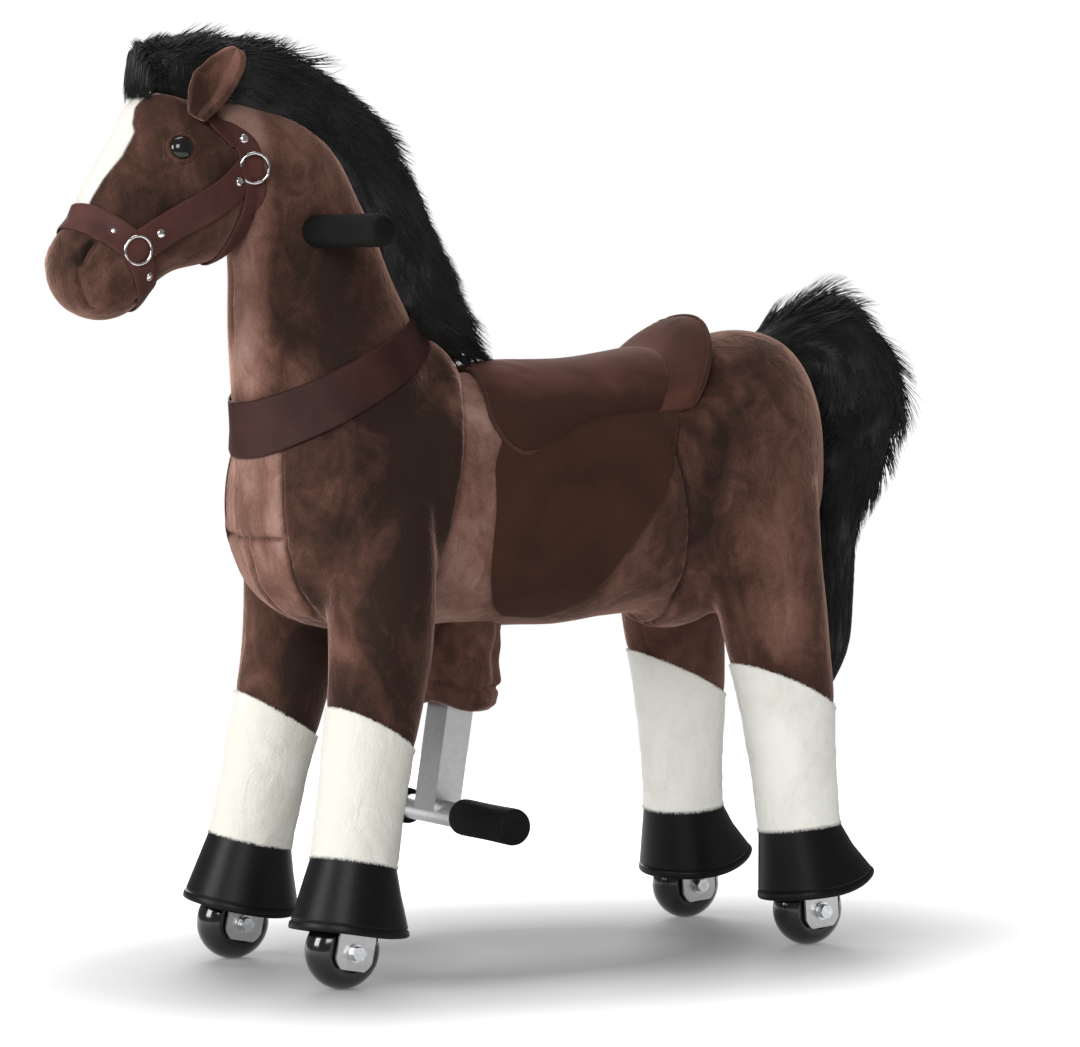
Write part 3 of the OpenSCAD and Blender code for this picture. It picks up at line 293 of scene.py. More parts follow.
def path_distance(points, path):
    """Distance of each point to a polyline: the least distance to its segments."""
    path = np.asarray(path, float)
    a, step = path[:-1], np.diff(path, axis=0)
    share = np.clip(((points[:, None] - a) * step).sum(-1) / (step**2).sum(-1), 0, 1)
    return np.linalg.norm(points[:, None] - a - share[..., None] * step, axis=-1).min(1)


def seam(distance, depth, width=2.6):
    """A sewn seam: a Gaussian groove with a low swell on each side, where the stuffing pushes up."""
    d = np.abs(distance) / width
    return depth * (0.28 * np.exp(-(((d - 3.2) / 1.6) ** 2)) - np.exp(-(d**2)))


def mirrored(path):
    """The same path on the right side of the horse."""
    return [(x, -y, z) for x, y, z in path]


trunk_rows = [
    [-366, 498, 0, 14, 16, 10], [-352, 498, 0, 82, 96, 48], [-324, 492, 0, 130, 130, 92],
    [-272, 488, 0, 144, 148, 124], [-200, 480, 0, 135, 142, 126], [-150, 472, 0, 126, 128, 121],
    [-60, 464, 0, 128, 128, 122], [20, 464, 0, 128, 128, 118], [80, 465, 0, 126, 125, 115],
    [120, 466, 0, 122, 122, 112], [145, 466, 0, 112, 112, 104], [160, 466, 0, 70, 70, 66],
    [166, 466, 0, 20, 20, 20]]
chest_rows = [
    [112, 467, 12, 60, 60, 50], [120, 467, 12, 140, 128, 118], [150, 467, 8, 136, 130, 120],
    [185, 467, 0, 128, 130, 121], [230, 467, 0, 118, 122, 117], [268, 467, 0, 96, 102, 95],
    [290, 467, 0, 64, 70, 62], [300, 467, 0, 20, 24, 20]]
neck_rows = [
    [205, 545, 62, 112, 110, 96], [209, 592, 62, 100, 108, 83], [224, 662, 72, 86, 94, 64],
    [238, 728, 64, 70, 84, 56], [264, 782, 40, 62, 76, 52], [300, 804, 10, 52, 60, 44],
    [332, 808, -8, 52, 60, 38], [354, 808, -14, 20, 24, 18]]
print("trunk sections:", len(trunk_rows), "chest:", len(chest_rows), "neck:", len(neck_rows))

# %% [markdown]
# ## Legs
# Each leg leans and splays, so its sections are drawn upright along the leg and then turned into place.
# A row is [height, half length behind, half length in front, half width]. The brown thigh ends at a slanted seam,
# higher in front, and the white stocking goes on below it.

# %% Leg helpers
leg_tables = {
    "front": np.array([[82, 42, 42, 42], [170, 43, 44, 42], [240, 48, 47, 45],
                       [310, 50, 56, 52], [380, 36, 68, 60], [440, 24, 56, 52]], float),
    "rear": np.array([[82, 42, 42, 42], [150, 45, 44, 42], [225, 53, 52, 44],
                      [300, 52, 64, 50], [370, 50, 74, 54], [440, 56, 76, 52]], float)}
leg_axle = {"front": (256, 114, 38), "rear": (-292, 114, 38)}
leg_turn = {"front": (11.3, 4.7), "rear": (-4.7, 3.6)}
leg_seam = {"front": (213, 20), "rear": (229, 31)}


def on_leg(points, end, side):
    """Turns points from along the leg into place: splay about X, lean about Y, then out to the axle."""
    lean, splay = (math.radians(v) for v in leg_turn[end])
    tip = np.array([[1, 0, 0], [0, math.cos(splay), -math.sin(splay)], [0, math.sin(splay), math.cos(splay)]])
    tilt = np.array([[math.cos(lean), 0, -math.sin(lean)], [0, 1, 0], [math.sin(lean), 0, math.cos(lean)]])
    return (points @ (tilt @ tip).T + leg_axle[end]) * (1, side, 1)


def leg_section(end, height, angle, thinner=0.0):
    """Point of the leg at a height: rear or front half length times sin along, half width times cos across."""
    row = looked_up(leg_tables[end], height)
    s = np.sin(angle)
    reach = np.where(s >= 0, row[..., 1], row[..., 2]) - thinner
    return np.stack([-s * reach, (row[..., 3] - thinner) * np.cos(angle), height + 0 * angle], -1)


def seam_height(end, angle):
    """Height of the stocking seam round the leg: a plane that rises to the front."""
    middle, slope = leg_seam[end]
    return middle + leg_section(end, np.full_like(angle, middle), angle)[..., 0] * math.tan(math.radians(slope))


def leg_shell(end, side, low, high, thinner=0.0, tuck=0.0):
    """Shell of a leg between two heights, each a number or one value per angle, tucked in below the seam."""
    share = np.linspace(0, 1, leg_rings)[:, None]
    angle = ring_angle + 0 * share
    height = low + (high - low) * share + 0 * angle
    thinner = thinner + tuck * smooth_step(5, -4, height - seam_height(end, ring_angle))
    return closed_tube(on_leg(leg_section(end, height, angle, thinner), end, side))


leg_rings = 90
ring_angle = even_angles(64)[None, :]
under_stocking, thigh_top = 26, 438.0
thighs = {end: [leg_shell(end, side, seam_height(end, ring_angle) - under_stocking, thigh_top, tuck=3.0)
                for side in (1, -1)] for end in both_ends}
print("thigh shells:", {end: len(shells) for end, shells in thighs.items()})

# %% [markdown]
# ## Stuffed plush
# The body of the toy is cloth over stuffing, so where a thigh meets the trunk there is no hard line.
# The overlapping shells are joined by a voxel remesh, smoothed and subdivided, and then the seams are pressed in.
# A boolean union would keep sharp creases, which stuffing never shows.


# %% Stuffing helpers
def stuffed(name, shells, voxel, rounds):
    """One soft skin over overlapping shells: voxel remesh, smoothing rounds and one subdivision."""
    return applied(subdivided(remeshed(add_piece(name, *joined(shells)), voxel, rounds)))


def ball(centre, radii):
    """Ellipsoid: rings at even angles from pole to pole, scaled to the three radii."""
    polar, around = np.linspace(0.02, np.pi - 0.02, 28)[:, None], even_angles(40)[None, :]
    sideways = np.sin(polar)
    skin = np.stack([sideways * np.cos(around), sideways * np.sin(around), np.cos(polar) + 0 * around], -1)
    return closed_tube(skin * radii + centre)


cover_voxel, cover_rounds = 5.6, 9
print("covers: voxels of", cover_voxel, "mm and", cover_rounds, "smoothing rounds")

# %% [markdown]
# ## Rear cover
# Barrel, rump and rear thighs are one sewn cover. A seam runs round behind the saddle, where the rump is sewn on,
# and another along the middle of the belly. On the toy the cover bends near its front end, where the frame is hinged.
# A stored tone makes the plush paler in front of the saddle, where the nap lies another way, and darker low on the
# thighs. It also holds painted light and shade: paler under the belly, where light comes up from the floor, at the
# tail and on top, where the light from above and behind falls, and darker in the seam, where shade falls.

# %% Rear cover
pouch = ball((-192, 0, 384), (62, 76, 60))
rear_shells = [closed_tube(oval_rings(trunk_rows, 150, 96)), pouch] + thighs["rear"]
rear_cover = stuffed("rear_cover", rear_shells, cover_voxel, cover_rounds)
points, _ = points_of(rear_cover)
x, y, z = points.T
rump_line = x + 123 + 0.2 * (548 - z)
uneven = smooth_step(-150, -200, x) + smooth_step(430, 370, z)
relief = seam(rump_line, 3.4)
relief += seam(y, 2.4) * smooth_step(372, 352, z)
relief += 1.6 * waves(points, 95, 3) * np.clip(uneven, 0, 1)
pushed(rear_cover, relief)
# Painted light and shade: paler under the belly, at the tail and on top of the rump; darker in the rump seam.
tone = 0.30 * smooth_step(30, 80, x) + 0.10 * smooth_step(380, 345, z) + 0.03
tone += 0.12 * smooth_step(-290, -345, x) + 0.08 * smooth_step(590, 620, z)
tone -= 0.10 * smooth_step(330, 270, z) + 0.15 * np.exp(-((rump_line / 2.6) ** 2))
painted(rear_cover, "tone", tone)
print("rear cover:", len(rear_cover.data.polygons), "faces")

# %% [markdown]
# ## Front cover
# Chest, shoulders, neck and front thighs are a second cover, which on the toy steers with the handles.
# Its rear edge hangs over the barrel like the hem of a jacket, further forward at the sides than on top.
# On the chest the panels meet in a T of seams. The middle panel and the throat are painted paler than the shoulders,
# as the light from the front brightens them, and the shoulders and the seams are painted darker, where shade falls.

# %% Front cover
chest_count, chest_sides, hem_rings = 110, 96, 45
chest_rings = oval_rings(chest_rows, chest_count, chest_sides)
around = even_angles(chest_sides)
hem_shift = 13 * np.cos(around) ** 2 - 15 * np.clip(np.sin(around), 0, 1) ** 2
chest_rings[..., 0] += np.clip(1 - np.arange(chest_count) / hem_rings, 0, 1)[:, None] * hem_shift
withers = ball((113, 0, 560), (50, 64, 70))
neck_rings = oval_rings(neck_rows, 110, 88)
front_shells = [closed_tube(chest_rings), withers, closed_tube(neck_rings)] + thighs["front"]
front_cover = stuffed("front_cover", front_shells, cover_voxel, cover_rounds)
side_seam = [(240, 40, 350), (260, 48, 373), (281, 57, 409), (288, 60, 438), (290, 58, 482), (289, 50, 526)]
breast_seam = [(289, -60, 434), (297, -30, 433), (300, 0, 432), (297, 30, 433), (289, 60, 434)]
middle_seam = [(300, 0, 432), (294, 0, 410), (270, 0, 365), (240, 0, 342)]
throat_seam = [(326, 0, 560), (318, 0, 600), (312, 0, 650), (310, 0, 700)]
points, _ = points_of(front_cover)
relief = 1.8 * waves(points, 90, 8)
sewn = np.full(len(points), np.inf)
for line in (side_seam, mirrored(side_seam), breast_seam, middle_seam, throat_seam):
    away = path_distance(points, line)
    relief += seam(away, 3.2)
    sewn = np.minimum(sewn, away)
pushed(front_cover, relief)
print("front cover:", len(front_cover.data.polygons), "faces")

# %% Tones of the front cover, with painted light and shade
x, y, z = points.T
_, edge_y, edge_z = np.array(side_seam).T
shoulder = np.exp(-(((x - 165) / 62) ** 2) - ((z - 470) / 150) ** 2)
panel = smooth_step(2, -2, np.abs(y) - np.interp(z, edge_z, edge_y))
front = smooth_step(225, 262, x) * smooth_step(560, 530, z) * smooth_step(330, 360, z)
neck_side = np.exp(-(((x - 240) / 48) ** 2) - ((z - 665) / 62) ** 2)
crest = smooth_step(590, 680, z) * smooth_step(215, 150, x)
nape = smooth_step(720, 800, z) * smooth_step(300, 260, x)
throat = smooth_step(284, 308, x) * smooth_step(560, 590, z)
# Painted highlight on the middle chest panel and the throat, painted shade on the shoulders and in the seams.
tone = 0.02 - 0.20 * shoulder + front * (0.38 * panel - 0.10)
tone += 0.16 * crest - 0.10 * neck_side + 0.14 * nape + 0.34 * throat
tone -= 0.08 * smooth_step(360, 290, z) + 0.26 * np.exp(-((sewn / 2.4) ** 2))
painted(front_cover, "tone", tone)
print("front cover tones:", np.round([tone.min(), tone.max()], 2).tolist())

# %% [markdown]
# ## Stockings
# The white lower legs are sewn to the thighs along the slanted seam, and their pile is longer than the brown one.
# A grid is enough here, because nothing branches. Small waves give the white pile its soft outline.

# %% Stockings
stocking_low, stocking_thinner = 86.0, -0.8
# Painted shade on the front stockings and painted light on the rear ones, as the front legs get more of the lamps.
stocking_painted_light = {"front": -0.17, "rear": 0.17}
stockings = {}
for end in both_ends:
    for side, word in both_sides:
        shell = leg_shell(end, side, stocking_low, seam_height(end, ring_angle), stocking_thinner)
        piece = add_piece(f"{end}_stocking_{word}_skin", *shell)
        spots, _ = points_of(piece)
        pushed(piece, 0.8 * waves(spots, 34, 5) + 0.5 * waves(spots, 12, 6))
        painted(piece, "tone", np.full(len(spots), stocking_painted_light[end]))
        stockings[end, word] = piece
print("stockings:", len(stockings))

# %% [markdown]
# ## Head
# The head is a short spine with a round muzzle, low brows and full cheeks. A finer remesh keeps the small forms.
# The nostrils and the mouth are sewn into the plush as short grooves, which are painted darker where shade falls in
# them. The blaze is a stored number too: 1 inside an outline of half widths over height, which small waves make
# uneven.

# %% Head
head_rows = [
    [306, 800, -27, 34, 30, 24], [325, 793, -27, 72, 62, 44], [368, 775, -27, 98, 78, 54],
    [410, 750, -25, 77, 64, 50], [444, 714, -28, 62, 51, 48], [458, 700, -30, 44, 40, 34]]
head_shells = [closed_tube(oval_rings(head_rows, 90, 72)), ball((457, 0, 697), (51, 51, 51))]
head_shells += [ball((394, 40 * side, 824), (26, 8, 9)) for side in (1, -1)]
head_voxel, head_rounds = 3.2, 7
head_skin = stuffed("head_skin", head_shells, head_voxel, head_rounds)
nostril = [(482, 38, 720), (488, 37, 712), (492, 36, 702)]
mouth = [(494, 32, 708), (494, 32, 685), (479, 25, 658), (432, 31, 666)]
nostrils, lips = (nostril, mirrored(nostril)), (mouth, mirrored(mouth))
points, _ = points_of(head_skin)
relief = 0.8 * waves(points, 55, 12)
for lines, depth, width in ((nostrils, 5.0, 2.6), (lips, 2.4, 2.2)):
    for line in lines:
        relief += seam(path_distance(points, line), depth, width)
pushed(head_skin, relief)
print("head:", len(head_skin.data.polygons), "faces")

# %% Blaze of the head, and painted shade in its grooves
blaze_half = np.array([[740, 15], [757, 16], [765, 17], [772, 18], [780, 19], [787, 21], [803, 24], [826, 23],
                       [834, 18], [849, 12], [880, 10]])
points, _ = points_of(head_skin)
x, y, z = points.T
inside = np.interp(z, *blaze_half.T) - np.abs(y) + 1.2 * waves(points, 16, 4)
blaze = smooth_step(-1.5, 1.5, inside) * smooth_step(392, 400, x) * smooth_step(736, 742, z)
painted(head_skin, "blaze", blaze)
slit, lip = (np.minimum(*[path_distance(points, line) for line in lines]) for lines in (nostrils, lips))
# Painted shade: the plush is darker in the nostril slits and along the mouth grooves.
tone = 0.02 - 0.5 * np.exp(-((slit / 3.6) ** 2)) - 0.12 * np.exp(-((lip / 2.4) ** 2))
painted(head_skin, "tone", tone)
print("blaze over", int((blaze > 0.5).sum()), "points")

# %% [markdown]
# ## Ears and eyes
# An ear is a leaf of plush folded into a cup that looks forward and out. A grid gives the leaf, and Solidify its
# thickness. The eye is a glossy button with a soft lid round it.


# %% Ears
def ear_leaf(side):
    """Leaf: half width w(u) along a leaning axis, folded along its middle by 0.8 w (sqrt(v^2 + 0.03) - 0.17)."""
    rows, cols, length = 36, 25, 70
    foot = np.array([368, 42, 846])
    u, v = spread((-0.12, 1, rows), (-1, 1, cols))
    front = np.interp(u, [-0.12, 0, 0.2, 0.42, 0.7, 0.88, 0.96, 1], [8, 12, 20, 24, 18, 11, 6, 2])
    rear = np.interp(u, [-0.12, 0, 0.3, 0.6, 0.8, 0.9, 0.96, 1], [8, 11, 14.5, 15.5, 15, 12, 8, 2])
    width = np.where(v < 0, front, rear)
    axis = np.array([-0.543, 0.059, 0.837])
    out = np.array([0.66, 0.73, 0.12])
    out = unit(out - axis * (out @ axis))
    across = np.cross(axis, out)
    fold = 0.8 * width * (np.sqrt(v**2 + 0.03) - 0.17) - 9 * np.sin(np.pi * np.clip(u, 0, 1)) + 6 * u**2
    leaf = foot + axis * (length * u)[..., None] + across * (width * v)[..., None] + out * fold[..., None]
    return (leaf * (1, side, 1)).reshape(-1, 3), grid_faces(rows, cols, wrap=False)


ear_pieces = []
for side, word in both_sides:
    leaf, quads = ear_leaf(side)
    piece = add_piece(f"ear_{word}", leaf, [quads if side > 0 else quads[:, ::-1]])
    ear_pieces.append(applied(subdivided(walled(piece, 7.5, 0))))
print("ears:", len(ear_pieces))


# %% Eyes
def square_to(axis):
    """Unit vector along an axis, and two more that are square to it and to each other."""
    axis = unit(np.asarray(axis, float))
    first = unit(np.cross(axis, (0, 0, 1.0)))
    return axis, first, np.cross(axis, first)


def dome(centre, axis, radius, height, rings=14, sides=36):
    """Button: a flattened half ball on a short back, standing on a point with its axis outwards."""
    axis, first, second = square_to(axis)
    polar, a = np.linspace(0.03, np.pi / 2, rings), even_angles(sides)
    out = np.concatenate([np.sin(polar) * radius, [radius * 0.96, radius * 0.5]])
    up = np.concatenate([np.cos(polar) * height, [-3.0, -3.4]])
    flat = first * np.cos(a)[:, None] + second * np.sin(a)[:, None]
    return closed_tube(centre + out[:, None, None] * flat[None] + up[:, None, None] * axis)


def torus(centre, axis, radius, wire):
    """Ring: a round wire carried round a circle whose axis points outwards."""
    sides, wire_sides = 48, 12
    axis, first, second = square_to(axis)
    a, b = np.meshgrid(even_angles(sides), even_angles(wire_sides), indexing="ij")
    flat = first * np.cos(a)[..., None] + second * np.sin(a)[..., None]
    points = centre + flat * (radius + wire * np.cos(b))[..., None] + axis * (wire * np.sin(b))[..., None]
    points = points.reshape(-1, 3)
    return points, turned_out(points, [grid_faces(sides + 1, wire_sides) % (sides * wire_sides)])


def on_skin(piece, place, side):
    """Nearest point of a piece's skin to a place given for the left side, and its normal, in millimetres."""
    _, point, normal, _ = piece.closest_point_on_mesh(Vector(np.array(place) * (1, side, 1)) / per_metre)
    return np.array(point) * per_metre, np.array(normal)


eye_shells, lid_shells = [], []
for side in (1, -1):
    spot, out = on_skin(head_skin, (393, 50, 811), side)
    eye_shells.append(dome(spot + out * 0.8, out, 11.6, 8.0))
    lid_shells.append(torus(spot + out * 0.6, out, 12.9, 2.3))
eye_buttons = add_piece("eye_buttons", *joined(eye_shells))
eye_lids = add_piece("eye_lids", *joined(lid_shells))
print("eyes:", len(eye_shells), "the right one at", np.round(spot, 1).tolist())

# %% [markdown]
# ## Saddle
# The saddle lies over the barrel, so its pieces are grids in two measures of the trunk: the distance along it and
# the angle round it. The seat and the cantle are padded. Each starts a little thin, gets a voxel remesh and is blown
# up with cloth pressure, held where it rests on the back, so the suede swells like the real pad.


# %% Saddle helpers
trunk_station = np.linspace(0, len(trunk_rows) - 1, 600)
trunk_x = along(trunk_rows, trunk_station)[:, 0]


def trunk_row(x):
    """Section of the trunk at a distance x along it."""
    return along(trunk_rows, np.interp(x, trunk_x, trunk_station))


def on_trunk(x, degrees, lift):
    """Point over the trunk at a distance x along it, an angle from the horizontal, and a lift off the plush."""
    return oval(trunk_row(x), np.radians(degrees), 1.0, lift)


def off_trunk(points):
    """How far points stand off the trunk, measured across its nearest section."""
    row = trunk_row(points[:, 0])
    rise = points[:, 2] - row[:, 1]
    angle = np.arctan2(rise / np.where(rise >= 0, row[:, 3], row[:, 4]), points[:, 1] / row[:, 5])
    return np.linalg.norm(points - oval(row, angle), axis=1)


def puffed(piece):
    """Cloth pressure on a remeshed pad: points near the trunk are held, and no point moves further than a cap."""
    voxel, rounds, resting, cap, frames = 3.6, 4, 3.6, 6.0, 20
    remeshed(piece, voxel, rounds)
    start, _ = points_of(piece)
    pins = piece.vertex_groups.new(name="resting")
    pins.add(np.nonzero(off_trunk(start) < resting)[0].tolist(), 1.0, "REPLACE")
    cloth = piece.modifiers.new("cloth", "CLOTH")
    cloth.settings.use_pressure = True
    cloth.settings.uniform_pressure_force = 4
    cloth.settings.effector_weights.gravity = 0
    cloth.settings.vertex_group_mass = "resting"
    for step in range(1, frames + 1):
        scene.frame_set(step)
    applied(piece)
    move = points_of(piece)[0] - start
    length = np.linalg.norm(move, axis=1, keepdims=True)
    moved(piece, start + move * np.minimum(1, cap / np.maximum(length, 1e-6)))
    scene.frame_set(1)
    print(piece.name, "swelled by up to", round(float(np.minimum(length, cap).max()), 1), "mm")
    piece.vertex_groups.clear()
    return applied(subdivided(piece))


# %% Saddle seat
seat_half = np.array([[0, 50], [0.25, 50], [0.45, 53], [0.58, 58], [0.68, 63], [0.78, 66.5], [0.86, 68.2],
                      [0.92, 65.6], [0.96, 61.5], [0.985, 56], [1, 49]])


def seat_place(u, v):
    """Distance along the trunk and angle of the seat at u from rear to front and v from right to left."""
    back, front = -168 + 44 * v**2, 46 + 29 * (v**2 + 0.02) ** 0.4
    return back + (front - back) * u, 90 - looked_up(seat_half, u)[..., 1] * v


u, v = spread((0, 1, 90), (-1, 1, 90))
crown = (1 - np.abs(v) ** 4) ** 0.8 * (1 - np.maximum(2 * u - 1, 0) ** 8) * np.minimum(1, 0.55 + 6 * u)
place = seat_place(u, v)
raised = 5.0 + (7.5 + 6 * smooth_step(0.5, 0.05, u)) * crown
seat_pad = add_piece("seat_pad", *slab(on_trunk(*place, -2.5), on_trunk(*place, raised)))
puffed(seat_pad)
spots, _ = points_of(seat_pad)
x, _, z = spots.T
creased = smooth_step(-30, 20, x) * smooth_step(560, 590, z)
pushed(seat_pad, 0.9 * waves(spots * (1, 0.35, 0.6), 13, 9) * creased)
# Painted shade: the seat is darker towards its lower edges, down its sides.
painted(seat_pad, "tone", 0.12 - 0.50 * smooth_step(598, 545, z))
print("seat pad:", len(seat_pad.data.polygons), "faces")

# %% Cantle
cantle_ridge = np.array([[-0.1, 0.25], [0.05, 0.3], [0.25, 0.5], [0.5, 0.86], [0.68, 1.0], [0.82, 0.98],
                         [0.93, 0.66], [1, 0.05]])


def cantle_place(u, v):
    """Distance along the trunk and angle of the cantle at u from the seat to the rear and v from right to left."""
    return -166 + 44 * v**2 - 60 * u * (1 - 0.3 * v**2), 90 - 51 * v


def cantle_fall(v):
    """Share of the ridge's height at v: nearly all of it, and little at the two ends."""
    return 1 - 0.72 * np.abs(v) ** 5


u, v = spread((-0.1, 1, 66), (-1, 1, 110))
place = cantle_place(u, v)
ridge = looked_up(cantle_ridge, u)[..., 1] * cantle_fall(v)
cantle = add_piece("cantle_pad", *slab(on_trunk(*place, -1.5), on_trunk(*place, 4 + 25 * ridge)))
puffed(cantle)
print("cantle pad:", len(cantle.data.polygons), "faces")

# %% [markdown]
# ## Saddle flaps and piping
# A flap is a flat panel of suede that hangs on the flank under the edge of the seat. It is pulled onto the plush
# with Shrinkwrap and then given its thickness. The piping is a thin cord sewn into the edge: a circle carried
# along a path.


# %% Flaps
def laid(piece, target, gap, method="NEAREST_SURFACEPOINT"):
    """Shrinkwraps a sheet to just off a skin, by the nearest point or by projecting it inwards."""
    with_modifier(piece, "SHRINKWRAP", target=target, wrap_method=method, wrap_mode="ABOVE_SURFACE",
                  use_positive_direction=False, use_negative_direction=True, offset=gap / per_metre)
    return applied(piece)


def thickened(piece, thick):
    """Softens a laid sheet and gives it an outward thickness."""
    with_modifier(piece, "SMOOTH", iterations=2)
    return applied(subdivided(walled(piece, thick, 1)))


flap_edge = np.array([[-141, 36], [-109, 1], [-73, -21.5], [-35, -53.6], [-5, -66], [41, -63], [60, -54],
                      [76, -38], [82, -25], [84, -12]], float)
flap_rows, flap_cols, flap_top = 48, 34, 44
u, v = spread((0, 1, flap_rows), (0, 1, flap_cols))
x = flap_edge[0, 0] + (flap_edge[-1, 0] - flap_edge[0, 0]) * u
degrees = flap_top + (np.interp(x, *flap_edge.T) - flap_top) * v
x = x - 30 * u * smooth_step(14, flap_top, degrees)
quads = grid_faces(flap_rows, flap_cols, wrap=False)
flaps = []
for side, word in both_sides:
    sheet = on_trunk(x, degrees, 3.0) * (1, side, 1)
    piece = add_piece(f"flap_{word}", sheet.reshape(-1, 3), [quads[:, ::-1] if side > 0 else quads])
    flaps.append(thickened(laid(piece, rear_cover, 1.2), 3.5))
print("flaps:", [len(piece.data.polygons) for piece in flaps])


# %% Piping
def cord_along(path, radius):
    """Round cord: at each point of a path two vectors square to its direction carry a circle, smaller at the ends."""
    path = np.asarray(path, float)
    ahead = unit(np.gradient(path, axis=0))
    first = unit(np.cross(ahead, (0.3, 0.2, 1.0)))
    second = np.cross(ahead, first)
    a = even_angles(10)[:, None]
    from_end = np.minimum(np.arange(len(path)), np.arange(len(path))[::-1])
    radius = radius * np.minimum(1, from_end / 12 + 0.15)[:, None, None]
    return closed_tube(path[:, None] + radius * (first[:, None] * np.cos(a) + second[:, None] * np.sin(a)))


def laid_on(path, target, lift):
    """A path's points moved onto a piece, a little above its skin."""
    trail = laid(add_piece("trail", path, [np.zeros((0, 3), int)]), target, lift)
    spots, _ = points_of(trail)
    bpy.data.objects.remove(trail)
    return spots


rim_v = np.linspace(-0.97, 0.97, 160)
rim = on_trunk(*cantle_place(0.84, rim_v), 6 + 27 * cantle_fall(rim_v))
front_u = np.concatenate([np.linspace(0.78, 0.999, 60), np.ones(90), np.linspace(0.999, 0.78, 60)])
front_v = np.concatenate([-np.ones(60), np.linspace(-1, 1, 90), np.ones(60)])
front_edge = on_trunk(*seat_place(front_u, front_v), 5.0)
cords = [cord_along(laid_on(rim, cantle, 0.6), 2.0), cord_along(laid_on(front_edge, seat_pad, 0.9), 2.3)]
piping = add_piece("saddle_piping", *joined(cords))
print("piping:", len(piping.data.polygons), "faces")

# %% [markdown]
# ## Straps
# The breast collar and the halter are cut from leather strip. Each is a ribbon: a path with a width across it, laid
# on the plush by Shrinkwrap, then thickened. A bevelled curve would twist where the path turns, and a ribbon doesn't.

# %% Breast collar
collar_rows, collar_cols = 10, 170
station, degrees = spread((0.5, 1.32, collar_rows), (99, 441, collar_cols))
sheet = oval(along(neck_rows, station), np.radians(degrees), 1.0, 5.0).reshape(-1, 3)
breast_collar = add_piece("breast_collar_strap", sheet, [grid_faces(collar_rows, collar_cols, wrap=False)])
thickened(laid(breast_collar, front_cover, 1.2), 2.8)
print("breast collar:", len(breast_collar.data.polygons), "faces")


# %% Halter straps
def ribbon(path, width, count, centre):
    """Ribbon: a smooth path with points across it, square to the path and to the line from the head's middle."""
    path = along(path, np.linspace(0, len(path) - 1, count))
    across = unit(np.cross(np.gradient(path, axis=0), path - centre))
    return path[:, None] + across[:, None] * (np.linspace(-0.5, 0.5, strap_cols) * width)[:, None]


def quads_of(piece):
    """Points and quads of a subdivided piece, as a shell."""
    corner = np.empty(len(piece.data.loops), np.int32)
    piece.data.loops.foreach_get("vertex_index", corner)
    return points_of(piece)[0], [corner.reshape(-1, 4)]


def strap(name, path, width, centre, count):
    """A strap of leather along a path on the head: it starts outside and is projected inwards onto the plush.

    Leather is stiff across: where the plush is hollow, the strap stays near the line between its two edges.
    """
    outside, gap, stiffness, thick = 20, 1.0, 0.45, 2.4
    flat = ribbon(path, width, count, np.asarray(centre, float)).reshape(-1, 3)
    flat = flat + outside * unit(flat - centre)
    quads = grid_faces(count, strap_cols, wrap=False)
    normal = np.cross(flat[quads[:, 1]] - flat[quads[:, 0]], flat[quads[:, 3]] - flat[quads[:, 0]])
    inward = ((flat[quads].mean(1) - centre) * normal).sum() < 0
    piece = add_piece(name, flat, [quads[:, ::-1] if inward else quads])
    spots = points_of(laid(piece, underlay, gap, "PROJECT"))[0].reshape(count, strap_cols, 3)
    chord = spots[:, :1] + (spots[:, -1:] - spots[:, :1]) * np.linspace(0, 1, strap_cols)[:, None]
    hollow = np.linalg.norm(chord - centre, axis=-1) > np.linalg.norm(spots - centre, axis=-1)
    moved(piece, np.where(hollow[..., None], stiffness * chord + (1 - stiffness) * spots, spots))
    return thickened(piece, thick)


strap_cols = 7
underlay = add_piece("underlay", *joined([quads_of(head_skin), quads_of(front_cover)]))
nose_half = [(485, 0, 745), (470, 32, 734), (443, 49, 713), (427, 38, 684), (415, 0, 664)]
nose_loop = nose_half[::-1] + mirrored(nose_half)[1:]
crown_half = [(314, 46, 792), (318, 46, 812), (331, 44, 827), (348, 38, 841), (356, 18, 852), (358, 0, 855)]
throat_half = [(314, 46, 792), (310, 45, 768), (314, 42, 746), (324, 34, 722), (332, 18, 706), (334, 0, 702)]
poll_loop = crown_half[::-1] + throat_half[1:] + mirrored(throat_half)[-2::-1] + mirrored(crown_half)[1:]
cheek = [(443, 49, 713), (400, 54, 738), (352, 54, 764), (318, 47, 790)]
halter_straps = [strap("noseband", nose_loop, 24, (446, 0, 706), 120),
                 strap("poll_strap", poll_loop, 19, (336, 0, 775), 170)]
halter_straps += [strap(f"cheek_strap_{word}", path, 27, (380, 0, 750), 60)
                  for word, path in (("left", cheek), ("right", mirrored(cheek)))]
print("halter straps:", [piece.name for piece in halter_straps])

# %% Rings and rivets
ring_places = (((441, 52, 713), 13.5, 5.2), ((315, 52, 792), 14.5, 8.8))
rivet_places = ((461, 40, 730), (416, 52, 729), (425, 40, 689), (331, 52, 779), (324, 52, 822))
metal_shells = []
for side in (1, -1):
    for place, radius, lift in ring_places:
        point, out = on_skin(underlay, place, side)
        metal_shells.append(torus(point + out * lift, out, radius, 1.5))
    for place in rivet_places:
        point, out = on_skin(underlay, place, side)
        metal_shells.append(dome(point + out * 3.4, out, 4.6, 2.2, 8, 20))
halter_metal = add_piece("halter_metal", *joined(metal_shells))
bpy.data.objects.remove(underlay)
print("rings and rivets:", len(metal_shells))

# %% [markdown]
# ## Sleeve under the belly
# A sleeve of the same cloth hides where the post goes into the belly. It hangs in soft folds and ends in a hem.
# It is drawn straight down and then leaned with the post.

